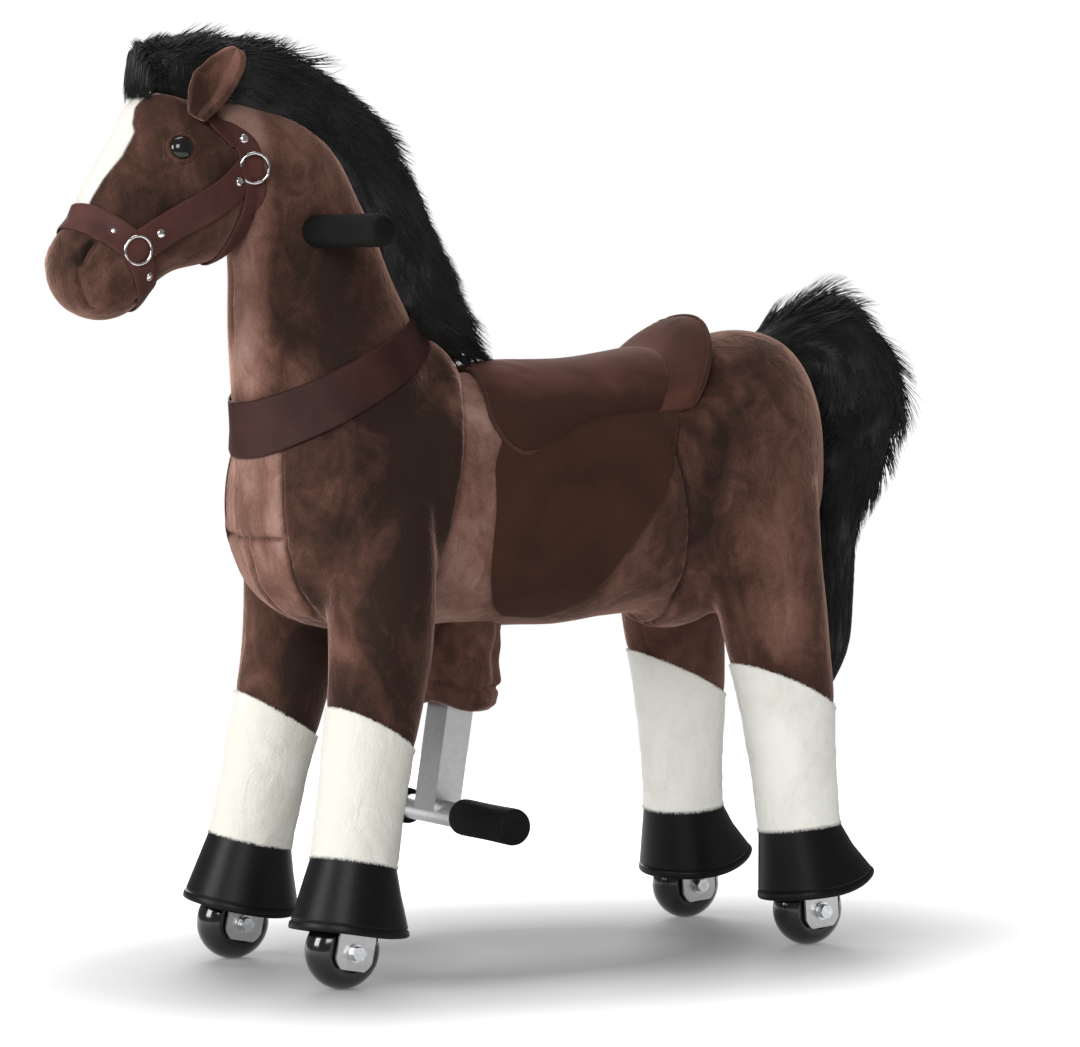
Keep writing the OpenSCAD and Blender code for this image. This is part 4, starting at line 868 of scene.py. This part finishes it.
# %% Belly sleeve
sleeve_rows, sleeve_cols, post_lean = 60, 112, math.radians(9)
drop = np.linspace(150, 278, sleeve_rows)[:, None]
a = even_angles(sleeve_cols)[None, :]
slack = smooth_step(150, 250, drop)
fold = (0.9 + 1.8 * slack) * np.cos(5 * a + 0.018 * drop) + 0.9 * slack * np.cos(9 * a - 0.03 * drop + 1)
fold = fold + 0.8 * np.sin(drop / 5.5 + 2 * np.sin(a)) * smooth_step(170, 200, drop)
fold *= 1 - 0.75 * smooth_step(248, 262, drop)
hem = seam(drop - 255, 2.8, 2.2) + 2.2 * smooth_step(252, 262, drop) - 7 * smooth_step(268, 279, drop) ** 2
body = 2.5 * smooth_step(215, 250, drop) + fold + hem
ahead, sideways, up = (39 + body) * np.cos(a) - 4, (30 + body) * np.sin(a), -drop + 2.5 * slack * np.sin(3 * a)
sleeve_points = np.stack([24 + ahead * math.cos(post_lean) - up * math.sin(post_lean), sideways,
                          530 + ahead * math.sin(post_lean) + up * math.cos(post_lean)], -1)
sleeve = add_piece("belly_sleeve_cloth", sleeve_points.reshape(-1, 3),
                   [grid_faces(sleeve_rows, sleeve_cols)[:, ::-1]])
applied(walled(sleeve, 3.5, -1))
painted(sleeve, "tone", np.full(len(sleeve.data.vertices), 0.12))
print("sleeve:", len(sleeve.data.polygons), "faces")

# %% [markdown]
# ## Hooves and grips
# The hooves are hollow mouldings that flare to a rim and cover the tops of the wheels. Each is one closed surface:
# the outer wall down to the rim and the inner wall up again. The grips are turned shapes, so a profile is spun, and
# those of the pedals have ribs.


# %% Hooves
def hoof_shell(end, side):
    """Hoof: rows of [height, heel, toe, half width] from the top, down outside and up inside, with the heel lifted."""
    heel, toe, lift = {"front": (66, 54.5, 6), "rear": (80, 47, 13)}[end]
    top, top_half, tall, rim_half, thick = 86, 42, 69, 54, 3.4
    z = np.array([top, 76, 66, 54, 40, 28, 24.5])
    flare = np.array([heel, toe, rim_half]) - top_half
    wall = np.column_stack([z, (top - z)[:, None] / tall * flare + top_half])
    outer = [[92, 20, 20, 20], [92, 38, 38, 38], [90.6, 41, 41, 41], *wall.tolist(),
             [22.8, heel - 3.8, toe - 1.6, 52.2], [21.4, heel - 1.6, toe, 53.6], [17, heel, toe + 0.5, 54.2],
             [15, heel - 0.6, toe - 0.2, 53.6], [14.4, heel - 2, toe - 2, 52]]
    inner = [[16, heel - 3.8, toe - 3.8, 50.4], *(wall[:0:-1] - (0, thick, thick, thick)).tolist(),
             [84, 39, 39, 39], [86, 37, 37, 37], [86.4, 20, 20, 20]]
    row = np.array(outer + inner, float)
    fine = along(row, np.linspace(0, len(row) - 1, 100))[:, None, :]
    angle = even_angles(80)[None, :]
    s = np.sin(angle)
    flat = np.clip(1.1 * s, 0, 1) ** 2 * np.clip((60 - fine[..., 0]) / 45, 0, 1)
    reach = np.where(s >= 0, fine[..., 1], fine[..., 2])
    local = np.stack([-s * reach, fine[..., 3] * np.cos(angle), fine[..., 0] + lift * flat], -1)
    return closed_tube(on_leg(local, end, side))


hooves = {(end, word): add_piece(f"{end}_hoof_{word}_shell", *hoof_shell(end, side))
          for end in both_ends for side, word in both_sides}
print("hooves:", len(hooves))


# %% Grips
def turned_grip(side, x, z, profile, ribs, depth):
    """Turned shape along Y: a profile of [y, radius] spun round, with shallow ribs over its middle."""
    fine = along(np.array(profile, float), np.linspace(0, len(profile) - 1, 64))[:, None, :]
    y, a = fine[..., 0], even_angles(120)[None, :]
    first, last = profile[2][0], profile[-4][0]
    inside = smooth_step(first, first + 5, y) * smooth_step(last, last - 5, y)
    radius = fine[..., 1] + depth * inside * np.cos(ribs * a)
    local = np.stack([radius * np.cos(a), y + 0 * a, radius * np.sin(a)], -1)
    return closed_tube(local * (1, side, 1) + np.array([x, 0, z]))


def grip_pair(name, x, z, profile, ribs=0, depth=0.0):
    """Left and right grip as one piece."""
    return add_piece(name, *joined([turned_grip(side, x, z, profile, ribs, depth) for side in (1, -1)]))


handle_profile = [[50, 11.4], [50.2, 14.8], [51.5, 15.8], [56, 16], [120, 16], [172, 16], [180, 15], [184.5, 10.5],
                  [186, 2]]
pedal_profile = [[55, 13], [55.2, 16.6], [56.5, 17.8], [60, 18], [104, 17.6], [146, 18], [150, 18], [153.6, 17.2],
                 [155, 14.6], [154.2, 12], [153.8, 5.5], [154.6, 4.2], [154.6, 1]]
handle_pair = grip_pair("handle_pair", 248, 732, handle_profile)
pedal_pair = grip_pair("pedal_pair", 84.19, 150, pedal_profile, ribs=40, depth=0.35)
print("grips:", len(handle_pair.data.polygons), len(pedal_pair.data.polygons))

# %% [markdown]
# ## Mane and tail
# Long pile hair is thousands of strands sewn into a backing. A dark core fills the volume, and tapered three-sided
# strands flow over it. They are gathered in locks whose tips come together, because evenly spread hair looks like a
# brush. Every strand is a path in the measures of the hair's own sections, so one formula combs the whole mane.
# In front the mane parts, and its last locks fall forward as a fringe that ends at one height over the brow.


# %% Strand helpers
strand_count, lock_size, strand_steps = 7500, 25, 5
lock_count, column = strand_count // lock_size, (strand_count, 1)
t = np.linspace(0, 1, strand_steps)


def strands(path, drift, width):
    """Tapered strands: a three-sided ring carried along each path (count, steps, 3) shrinks to the tip."""
    ahead = unit(np.gradient(path, axis=1))
    first = unit(np.cross(ahead, drift[:, None, :]))
    second = np.cross(ahead, first)
    count, steps, _ = path.shape
    taper = (width[:, None] * (1 - 0.93 * np.linspace(0, 1, steps) ** 1.5))[..., None, None]
    a = even_angles(3)[:, None]
    rings = path[:, :, None] + taper * (first[:, :, None] * np.cos(a) + second[:, :, None] * np.sin(a))
    base = np.arange(count)[:, None, None] * steps * 3
    quads = (grid_faces(steps, 3)[None] + base).reshape(-1, 4)
    root, tip = np.array([[2, 1, 0]]) + base, np.array([[0, 1, 2]]) + base + (steps - 1) * 3
    return rings.reshape(-1, 3), [quads[:, ::-1], root.reshape(-1, 3)[:, ::-1], tip.reshape(-1, 3)[:, ::-1]]


def strand_piece(name, path, rng, thin, thick):
    """Piece of strands along paths, each with a drawn twist and a drawn thickness."""
    count = len(path)
    return add_piece(name, *strands(path, rng.normal(size=(count, 3)), rng.uniform(thin, thick, count)))


def locks(rng, low, high):
    """Roots in locks: each strand's lock, the station and angle of the lock's middle, and the strand's offset."""
    number = rng.integers(0, lock_count, strand_count)
    middle = rng.uniform(low, high, (lock_count, 2))
    return number, middle[number], rng.normal(size=(strand_count, 2))


def by_lock(values, number):
    """One value per lock, given to each of its strands as a column."""
    return values[number][:, None]


# %% Mane
mane_rows = [
    [58, 618, 66, 6, 26, 12], [74, 644, 67, 18, 58, 24], [96, 674, 68, 28, 58, 28], [122, 735, 62, 29, 48, 28],
    [166, 800, 50, 36, 46, 29], [222, 854, 36, 34, 50, 30], [288, 888, 14, 28, 60, 30], [352, 894, -6, 27, 50, 27],
    [392, 890, -14, 29, 34, 26], [411, 883, -22, 27, 27, 23]]
last = len(mane_rows) - 1
core_rows = np.array(mane_rows[1:-1] + [[404, 886, -18, 22, 24, 19], [407, 885, -18, 5, 5, 5]], float)
core_rows[:, 3] *= 0.80
core_rows[:, 5] *= 0.86
core_rows[0, 3:] *= 0.35
core_rows[1, 3] *= 0.8
mane_core = add_piece("mane_core", *closed_tube(oval_rings(core_rows, 120, 48)))
fringe_start, fringe_full, fringe_z = 8.5, 8.7, 862
mane_hair = []
for side, word in both_sides:
    rng = np.random.default_rng(20 + side)
    number, middle, offset = locks(rng, (0.4, -0.75), (9.7, 1.57))
    middle[:, 0] = np.minimum(middle[:, 0], last)
    root = middle[:, :1] + 0.10 * offset[:, :1]
    reach = by_lock(rng.uniform(0.4, 0.95, lock_count), number) * rng.uniform(0.75, 1.15, column)
    ragged = by_lock(rng.uniform(0, 1, lock_count), number) ** 1.5
    reach = reach * (1 + 1.5 * smooth_step(3.2, 1.6, root) * ragged)
    parting = 8.0 + 0.45 * by_lock(rng.normal(size=lock_count), number)
    reach = np.where(middle[:, :1] > parting, -0.6 * reach, reach)
    station = root - reach * t * (1 - 0.25 * t) + 0.05 * offset[:, :1] * (1 - t)
    up = np.clip(np.sin(middle[:, 1:]), 0, 1)
    angle = middle[:, 1:] + 0.16 * offset[:, 1:] * (1 - 0.7 * t) + 0.12 * t
    lift = by_lock(np.minimum(rng.gamma(1.2, 0.18, lock_count), 0.75), number) * (0.12 + 0.88 * up**2)
    ending = smooth_step(fringe_start, fringe_full, middle[:, :1])
    depth = 0.80 + ending * rng.uniform(-0.65, 0.12, column)
    grow = depth + (1 - depth) * t * (1 - 0.8 * ending) + lift * (1 - 0.85 * ending) * t**1.6
    path = oval(along(mane_rows, station), angle if side > 0 else np.pi - angle, grow)
    beyond, below = np.clip(station - last, 0, 1), np.clip(-station, 0, 1)
    path[..., 0] += 4 * beyond - 8 * below + ending * 3 * np.sqrt(t)
    path[..., 2] -= 10 * beyond + 12 * beyond**2 + 16 * below
    fringe = np.maximum(path[:, :1, 2] - fringe_z - 7 * rng.uniform(0, 1, column), 3)
    path[..., 2] -= ending * fringe * t**1.5
    wisp = smooth_step(3.0, 0.8, root) * by_lock(rng.uniform(0, 1, lock_count), number) ** 1.5 * t**2
    path[..., 0] -= 40 * wisp
    path[..., 2] -= 6 * rng.uniform(0, 1, column) * t**2 + 14 * wisp
    mane_hair.append(strand_piece(f"mane_hair_{word}", path, rng, 0.45, 0.85))
print("mane strands:", strand_count * len(mane_hair))

# %% Tail
tail_rows = [
    [-306, 612, 160, 18, 18, 18], [-348, 628, 175, 40, 29, 32], [-402, 624, 205, 72, 41, 42],
    [-444, 562, 246, 84, 41, 48], [-436, 496, 278, 74, 24, 40], [-410, 428, 284, 46, 18, 30],
    [-406, 360, 275, 28, 20, 22], [-404, 300, 270, 20, 18, 17], [-396, 262, 262, 10, 10, 10],
    [-390, 248, 262, 3, 3, 3]]
core_rows = np.array(tail_rows, float)
core_rows[:, 3:] *= 0.88
tail_core = add_piece("tail_core", *closed_tube(oval_rings(core_rows, 120, 48)))
tail_hair = []
for word, low, high, seed in (("upper", 0.1, 4.2, 45), ("lower", 3.6, 7.9, 48)):
    rng = np.random.default_rng(seed)
    number, middle, offset = locks(rng, (low, 0.0), (high, 2 * np.pi))
    root = middle[:, :1] + 0.10 * offset[:, :1]
    reach = by_lock(rng.uniform(0.35, 0.75, lock_count), number) * rng.uniform(0.75, 1.2, column)
    station = np.clip(root + reach * t, 0, len(tail_rows) - 1)
    angle = middle[:, 1:] + 0.16 * offset[:, 1:] * (1 - 0.85 * t)
    rear = np.clip(-np.sin(middle[:, 1:]), 0, 1)
    spiky = (0.2 + 0.8 * rear) * smooth_step(5.8, 4.6, station[:, -1:])
    stands = rng.uniform(0, 1, lock_count) < 0.3
    tuft = np.where(stands, rng.uniform(0.3, 0.75, lock_count), rng.uniform(0, 0.12, lock_count))
    path = oval(along(tail_rows, station), angle, 0.82 + 0.17 * t + by_lock(tuft, number) * spiky * t**1.5)
    tail_hair.append(strand_piece(f"tail_hair_{word}", path, rng, 0.45, 0.85))
print("tail strands:", strand_count * len(tail_hair))

# %% [markdown]
# ## Pile of the stockings
# The white plush is longer than the brown one, and it shows where it ends: short hairs hang over the rim of the
# hoof and stand over the seam. Only the hairs' paths differ from the mane's, so the same strand helper makes them.


# %% Stocking pile
def pile_path(end, side, count, rng):
    """Short hairs along a stocking's edges: those above stand up over the seam, those below hang on the hoof."""
    angle = rng.uniform(0, 2 * np.pi, count)
    upper = rng.uniform(0, 1, count) < 0.4
    height = np.where(upper, seam_height(end, angle) - 1.5, stocking_low + 1.5)
    length = rng.uniform(2.5, 5.0, count)
    share = np.linspace(0, 1, 3)
    out = np.stack([-np.sin(angle), np.cos(angle), 0 * angle], -1) * rng.uniform(0.5, 1.3, count)[:, None]
    path = leg_section(end, height, angle, -0.4)[:, None] + out[:, None] * share[:, None]
    path[..., 2] += (np.where(upper, 0.7, -0.9) * length)[:, None] * share
    path[..., :2] += rng.normal(0, 0.5, (count, 1, 2)) * share[:, None]
    return on_leg(path, end, side)


pile_count = 2000
stocking_pile = {}
for k, (end, word) in enumerate(stockings):
    rng = np.random.default_rng(60 + k)
    path = pile_path(end, 1 if word == "left" else -1, pile_count, rng)
    stocking_pile[end, word] = strand_piece(f"{end}_stocking_{word}_pile", path, rng, 0.25, 0.45)
print("pile hairs:", pile_count * len(stocking_pile))

# %% [markdown]
# ## Finishes
# Each finish is built from nodes: noise on Object coordinates gives the mottling of brushed pile, the grain of
# leather and the spangle of zinc, and a Bump turns part of it into relief. Numbers that are the same everywhere sit
# on the shader.


# %% Finish helpers
def shader_of(made):
    """Principled shader of a finish."""
    return made.node_tree.nodes["Principled BSDF"]


def finish(name, roughness, metallic=0.0, **sockets):
    """Material with a Principled shader whose plain numbers are set on its own sockets."""
    made = bpy.data.materials.new(name)
    made.use_nodes = True
    for socket, value in {"Roughness": roughness, "Metallic": metallic, **sockets}.items():
        shader_of(made).inputs[socket.replace("_", " ")].default_value = value
    return made


def add_node(made, kind, values=(), links=(), **settings):
    """Node of one kind with its settings, with plain values on some sockets and outputs linked to others."""
    node = made.node_tree.nodes.new(f"ShaderNode{kind}")
    for name, value in settings.items():
        setattr(node, name, value)
    for socket, value in dict(values).items():
        node.inputs[socket].default_value = value
    for socket, output in dict(links).items():
        made.node_tree.links.new(output, node.inputs[socket])
    return node


def noise(made, scale, detail, stretch=(1, 1, 1), distortion=0.0):
    """Noise on Object coordinates, stretched along the axes, as an output to link on."""
    place = add_node(made, "TexCoord").outputs["Object"]
    mapping = add_node(made, "Mapping", {"Scale": stretch}, {"Vector": place})
    values = {"Scale": scale, "Detail": detail, "Distortion": distortion}
    return add_node(made, "TexNoise", values, {"Vector": mapping.outputs["Vector"]}).outputs["Fac"]


def stored(made, name):
    """Number that a piece stores under a name, 0 where it has none."""
    return add_node(made, "Attribute", attribute_name=name).outputs["Fac"]


def times(made, value, factor):
    """A value times a number."""
    return add_node(made, "Math", {1: factor}, {0: value}, operation="MULTIPLY").outputs["Value"]


def summed(made, first, second, share=1.0):
    """First value plus a share of the second."""
    return add_node(made, "Math", {1: share}, {0: second, 2: first}, operation="MULTIPLY_ADD").outputs["Value"]


def mixed(made, share, first, second):
    """Mix of two colours by a value; a Mix node's colours are its sockets 6 and 7."""
    return add_node(made, "Mix", links={0: share, 6: first, 7: second}, data_type="RGBA").outputs[2]


def ramp(made, value, *stops):
    """Colour ramp: (place, colour) stops over a value."""
    node = add_node(made, "ValToRGB", links={"Fac": value})
    for k, (place, colour) in enumerate(stops):
        stop = node.color_ramp.elements[k] if k < 2 else node.color_ramp.elements.new(place)
        stop.position = place
        stop.color = (*colour, 1)
    return node.outputs["Color"]


def linked(made, output, socket):
    """Links an output to a socket of the shader."""
    made.node_tree.links.new(output, shader_of(made).inputs[socket])
    return made


def shaded(made, value, dark, light, low=0.3, high=0.7):
    """Colours the finish from dark to light as a value goes from low to high."""
    return linked(made, ramp(made, value, (low, dark), (high, light)), "Base Color")


def embossed(made, value, distance, strength):
    """Links a height to the shader's normal through a Bump, after any Bump that is there already."""
    bump = add_node(made, "Bump", {"Distance": distance, "Strength": strength}, {"Height": value})
    before = shader_of(made).inputs["Normal"].links
    if before:
        made.node_tree.links.new(before[0].from_socket, bump.inputs["Normal"])
    return linked(made, bump.outputs["Normal"], "Normal")


# %% Plush and hair
def plush(name, dark, middle, light, pale, tint, sheen=0.8):
    """Brushed pile: patches where the nap lies another way, shifted by the stored tone with its painted light and
    shade, and a short fuzzy relief.

    The sum of tone and noises can pass 1, where a ramp ends, so it is scaled down first.
    """
    made = finish(name, 0.95, Sheen_Weight=sheen, Sheen_Roughness=0.3, Sheen_Tint=(*tint, 1),
                  Specular_IOR_Level=0.12)
    patch = noise(made, 8, 5, (1, 1, 0.7), 1.0)
    nap = noise(made, 620, 2, (1, 1, 0.6))
    brush = noise(made, 38, 6, (1, 1, 0.6), 1.6)
    value = summed(made, summed(made, patch, stored(made, "tone")), nap, 0.20)
    value = times(made, summed(made, value, brush, 0.36), 0.75)
    linked(made, ramp(made, value, (0.465, dark), (0.585, middle), (0.75, light), (0.98, pale)), "Base Color")
    embossed(made, nap, 0.0010, 0.7)
    return embossed(made, brush, 0.0040, 0.45)


def hair(name):
    """Black pile hair: almost black, with a satin shine that the strands break up."""
    made = finish(name, 0.46, Specular_IOR_Level=0.35, Sheen_Weight=0.05)
    return shaded(made, noise(made, 35, 3, (1, 1, 0.4)), (0.004, 0.004, 0.0042), (0.011, 0.0105, 0.010))


# The pale stop mostly serves the painted highlight on the throat and the chest panel.
brown = ((0.024, 0.0130, 0.0098), (0.060, 0.0285, 0.0205), (0.150, 0.074, 0.056), (0.32, 0.195, 0.162),
         (0.85, 0.52, 0.42))
white = ((0.65, 0.635, 0.575), (0.76, 0.75, 0.69), (0.86, 0.855, 0.80), (0.88, 0.875, 0.83), (1, 1, 1))
brown_plush = plush("brown_plush", *brown)
head_plush = plush("head_plush", *brown)
white_plush = plush("white_plush", *white, sheen=0.2)
white_pile = finish("white_pile", 0.95, Specular_IOR_Level=0.1)
shaded(white_pile, noise(white_pile, 40, 3), (0.69, 0.675, 0.62), (0.78, 0.77, 0.72))
white_mark = add_node(head_plush, "RGB").outputs[0]
white_mark.default_value = (0.64, 0.63, 0.59, 1)
bare_brown = shader_of(head_plush).inputs["Base Color"].links[0].from_socket
linked(head_plush, mixed(head_plush, stored(head_plush, "blaze"), bare_brown, white_mark), "Base Color")
black_hair = hair("black_hair")
hair_backing = hair("hair_backing")
embossed(hair_backing, noise(hair_backing, 220, 3, (1, 1, 0.3)), 0.003, 0.8)
print("pile finishes:", brown_plush.name, white_plush.name, black_hair.name)


# %% Saddle cloth and leather
def suede(name, dark, light):
    """Suede: soft patches of nap over a fine grain, matt with a little sheen."""
    made = finish(name, 0.92, Sheen_Weight=0.15, Sheen_Roughness=0.4, Sheen_Tint=(0.9, 0.55, 0.45, 1),
                  Specular_IOR_Level=0.12)
    shaded(made, summed(made, noise(made, 16, 4, distortion=0.6), stored(made, "tone")), dark, light)
    return embossed(made, noise(made, 900, 3), 0.0006, 0.5)


def leather(name, dark, light):
    """Leather: a pebbled grain, slow changes of tone and a waxed shine."""
    made = finish(name, 0.60, Specular_IOR_Level=0.16)
    shaded(made, noise(made, 22, 4), dark, light, high=0.72)
    return embossed(made, noise(made, 1100, 2), 0.0005, 0.45)


seat_suede = suede("seat_suede", (0.0375, 0.0162, 0.0106), (0.090, 0.0345, 0.0265))
piping_suede = suede("piping_suede", (0.040, 0.0172, 0.0128), (0.072, 0.0305, 0.024))
flap_suede = suede("flap_suede", (0.033, 0.0145, 0.0092), (0.047, 0.0205, 0.0130))
strap_leather = leather("strap_leather", (0.050, 0.0180, 0.0150), (0.092, 0.034, 0.028))
collar_leather = leather("collar_leather", (0.024, 0.0088, 0.0070), (0.046, 0.0170, 0.0135))
print("cloth finishes:", seat_suede.name, flap_suede.name, strap_leather.name)


# %% Moulded and metal finishes
def moulded(name, colour, roughness, grain, depth, coat=0.0, gloss=0.35):
    """Moulded plastic or rubber: one colour with faint clouding and a fine surface grain."""
    made = finish(name, roughness, Specular_IOR_Level=gloss, Coat_Weight=coat, Coat_Roughness=0.1)
    shaded(made, noise(made, 40, 4), tuple(0.75 * part for part in colour), colour)
    return embossed(made, noise(made, grain, 2), depth, 0.4)


def metal(name, dark, light, roughness, scale):
    """Metal: its tone changes with the spangle of the surface."""
    made = finish(name, roughness, 1.0)
    value = noise(made, scale, 4)
    shaded(made, value, dark, light, 0.35, 0.65)
    return embossed(made, value, 0.0002, 0.25)


hoof_vinyl = moulded("hoof_vinyl", (0.0055, 0.0058, 0.0062), 0.40, 500, 0.0004, gloss=0.15)
grip_foam = moulded("grip_foam", (0.0055, 0.0055, 0.0053), 0.7, 1300, 0.0005, gloss=0.12)
wheel_rubber = moulded("wheel_rubber", (0.006, 0.006, 0.0065), 0.16, 160, 0.0001, 0.6)
hub_plastic = moulded("hub_plastic", (0.03, 0.03, 0.032), 0.35, 400, 0.0003)
eye_plastic = moulded("eye_plastic", (0.010, 0.009, 0.008), 0.08, 60, 0.00005, 0.2)
zinc = metal("zinc", (0.55, 0.555, 0.56), (0.60, 0.605, 0.61), 0.36, 140)
bolt_zinc = metal("bolt_zinc", (0.55, 0.56, 0.58), (0.76, 0.77, 0.79), 0.26, 220)
spring_steel = metal("spring_steel", (0.30, 0.31, 0.32), (0.45, 0.46, 0.47), 0.34, 300)
bearing_steel = metal("bearing_steel", (0.55, 0.55, 0.56), (0.72, 0.72, 0.73), 0.2, 260)
bush_bronze = metal("bush_bronze", (0.42, 0.25, 0.10), (0.58, 0.37, 0.16), 0.36, 180)
ring_chrome = metal("ring_chrome", (0.66, 0.65, 0.64), (0.80, 0.79, 0.78), 0.14, 150)
board_wood = finish("board_wood", 0.6)
shaded(board_wood, noise(board_wood, 60, 5, (0.15, 1, 1), 1.5), (0.36, 0.22, 0.11), (0.58, 0.40, 0.22))
embossed(board_wood, noise(board_wood, 220, 3, (0.1, 1, 1)), 0.0004, 0.5)
print("hard finishes ready")

# %% [markdown]
# ## Dress the pieces and hang them on the frame
# A piece rides on the body that carries it. Covers that cross a joint, and the pieces that lie on them, keep their
# places and ride on no body. A CAD node that is right stays and only gets its finish.


# %% Finishes of the CAD nodes
def dress(made, *names):
    """Gives CAD nodes a finish through their objects' material slots."""
    for name in names:
        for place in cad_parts[name].material_slots:
            place.material = made


wheel_finishes = {"tyre": wheel_rubber, "hub": hub_plastic, "bearings": bearing_steel, "wheel_bracket": zinc}
for part, made in wheel_finishes.items():
    dress(made, *[f"{end}_{part}_{word}" for end in both_ends for _, word in both_sides])
dress(zinc, "rear_frame", "pedal_frame", "front_fork", "neck_stem", "handlebar")
dress(bolt_zinc, "rear_axle_bolts", "front_axle_bolts", "gallop_pin")
dress(spring_steel, "return_spring")
dress(bush_bronze, "steering_bushes")
dress(board_wood, "seat_board")
print("CAD nodes dressed")


# %% Riding
def dressed(piece, made, slot, *nodes):
    """Gives a piece its finish and hides the CAD nodes that it stands for; its slot is not used."""
    piece.data.materials.clear()
    piece.data.materials.append(made)
    if nodes:
        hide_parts(*nodes)
    return piece


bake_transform(dressed(rear_cover, brown_plush, "plush_brown", "barrel", "rump", "rear_leg_left", "rear_leg_right"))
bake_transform(dressed(seat_pad, seat_suede, "saddle_cloth", "saddle_seat"))
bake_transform(dressed(piping, piping_suede, "saddle_cloth"))
for piece, word in zip(flaps, ("left", "right")):
    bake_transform(dressed(piece, flap_suede, "saddle_cloth", f"saddle_flap_{word}"))
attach(dressed(cantle, seat_suede, "saddle_cloth", "saddle_cantle"), "rear_half")
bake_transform(dressed(sleeve, brown_plush, "plush_brown", "belly_sleeve"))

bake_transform(dressed(front_cover, brown_plush, "plush_brown", "chest", "neck", "shoulder_cover", "front_leg_left",
                 "front_leg_right"))
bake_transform(dressed(breast_collar, collar_leather, "strap_leather", "breast_collar"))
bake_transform(dressed(mane_core, hair_backing, "hair_black", "mane"))
for piece in mane_hair:
    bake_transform(dressed(piece, black_hair, "hair_black"))

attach(dressed(head_skin, head_plush, "plush_brown", "head", "muzzle"), "front_half")
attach(dressed(ear_pieces[0], brown_plush, "plush_brown", "ears"), "front_half")
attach(dressed(ear_pieces[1], brown_plush, "plush_brown"), "front_half")
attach(dressed(eye_buttons, eye_plastic, "eye_black", "eyes"), "front_half")
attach(dressed(eye_lids, brown_plush, "plush_brown"), "front_half")
for piece in halter_straps:
    stands_for = ["halter"] if piece.name == "noseband" else []
    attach(dressed(piece, strap_leather, "strap_leather", *stands_for), "front_half")
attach(dressed(halter_metal, ring_chrome, "ring_chrome", "halter_hardware"), "front_half")
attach(dressed(handle_pair, grip_foam, "grip_plastic", "handle_grips"), "front_half")
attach(dressed(pedal_pair, grip_foam, "grip_plastic", "pedal_grips"), "pedal_link")
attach(dressed(tail_core, hair_backing, "hair_black", "tail"), "rear_half")
for piece in tail_hair:
    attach(dressed(piece, black_hair, "hair_black"), "rear_half")
for (end, word), piece in stockings.items():
    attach(dressed(piece, white_plush, "plush_cream", f"{end}_stocking_{word}"), f"{end}_half")
for (end, _), piece in stocking_pile.items():
    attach(dressed(piece, white_pile, "plush_cream"), f"{end}_half")
for (end, word), piece in hooves.items():
    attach(dressed(piece, hoof_vinyl, "hoof_vinyl", f"{end}_hoof_{word}"), f"{end}_half")

# %% [markdown]
# ## Light and floor
# The photo has a white backdrop, a pale floor with one soft shadow, light from behind that rims the plush, and a
# weaker light from the front of the horse. The floor's own colour is dark grey, and it glows more the further it is
# from the horse, until it is as white as the backdrop: the dark oblong left under the horse is a painted shadow.
# Large area lights give the soft edges, and a white world fills the rest.

# %% Floor
floor_radius, floor_sides = 1900, 96
a, k = even_angles(floor_sides), np.arange(floor_sides)
disc = np.stack([floor_radius * np.cos(a), floor_radius * np.sin(a), 0 * a], -1)
fan = np.stack([k, (k + 1) % floor_sides, np.full(floor_sides, floor_sides)], -1)
floor = add_piece("floor", np.concatenate([disc, [[0, 0, 0]]]), [fan], smooth=False)
floor_paint = finish("floor_paint", 0.8, Emission_Strength=1.0)
# Painted shadow: a dark grey floor colour, and a glow that is nil in an oblong under the horse and white beyond it.
shaded(floor_paint, noise(floor_paint, 3, 2), (0.27, 0.27, 0.27), (0.29, 0.29, 0.29))
place = add_node(floor_paint, "TexCoord").outputs["Object"]
oblong = add_node(floor_paint, "Mapping", {"Scale": (2.1, 3.3, 1)}, {"Vector": place}).outputs["Vector"]
distance = add_node(floor_paint, "VectorMath", links={0: oblong}, operation="LENGTH").outputs["Value"]
far = add_node(floor_paint, "MapRange", {"From Min": 0.45, "From Max": 1.55}, {"Value": distance}).outputs["Result"]
glow_around_painted_shadow = ramp(floor_paint, far, (0.0, (0, 0, 0)), (0.45, (0.34, 0.34, 0.34)), (1.0, (1, 1, 1)))
linked(floor_paint, glow_around_painted_shadow, "Emission Color")
floor.data.materials.append(floor_paint)
print("floor radius:", floor_radius)

# %% World and lights
world = bpy.data.worlds.new("studio")
world.use_nodes = True
seen = add_node(world, "LightPath").outputs["Is Camera Ray"]
level = add_node(world, "MapRange", {"To Min": 0.21, "To Max": 1.0}, {"Value": seen}).outputs["Result"]
background = world.node_tree.nodes["Background"]
background.inputs["Color"].default_value = (1, 1, 1, 1)
world.node_tree.links.new(level, background.inputs["Strength"])
scene.world = world


def lamp(name, place, target, size, power):
    """Square area light at a place, aimed at a target."""
    light = bpy.data.lights.new(name, "AREA")
    light.size = size
    light.energy = power
    bulb = bpy.data.objects.new(name, light)
    bulb.location = place
    bulb.rotation_euler = (Vector(target) - Vector(place)).to_track_quat("-Z", "Y").to_euler()
    scene.collection.objects.link(bulb)


lamp("soft_key", (2.2, 2.6, 2.0), (0, 0, 0.45), 1.5, 72)
lamp("top_light", (0.3, -0.6, 3.0), (0, 0, 0.45), 1.5, 30)
lamp("back_rim", (-1.0, -2.6, 1.6), (0, 0, 0.5), 2.0, 85)
lamp("front_light", (3.0, -0.2, 1.2), (0.1, 0, 0.5), 1.2, 60)
scene.view_settings.view_transform = "Standard"

# %% [markdown]
# ## Finish
# The view layer is brought up to date once more, so that every piece stands where it was put. The dressed horse has
# to stay within the CAD model's box, apart from a little loose hair and fabric.

# %% Update the view layer
bpy.context.view_layer.update()
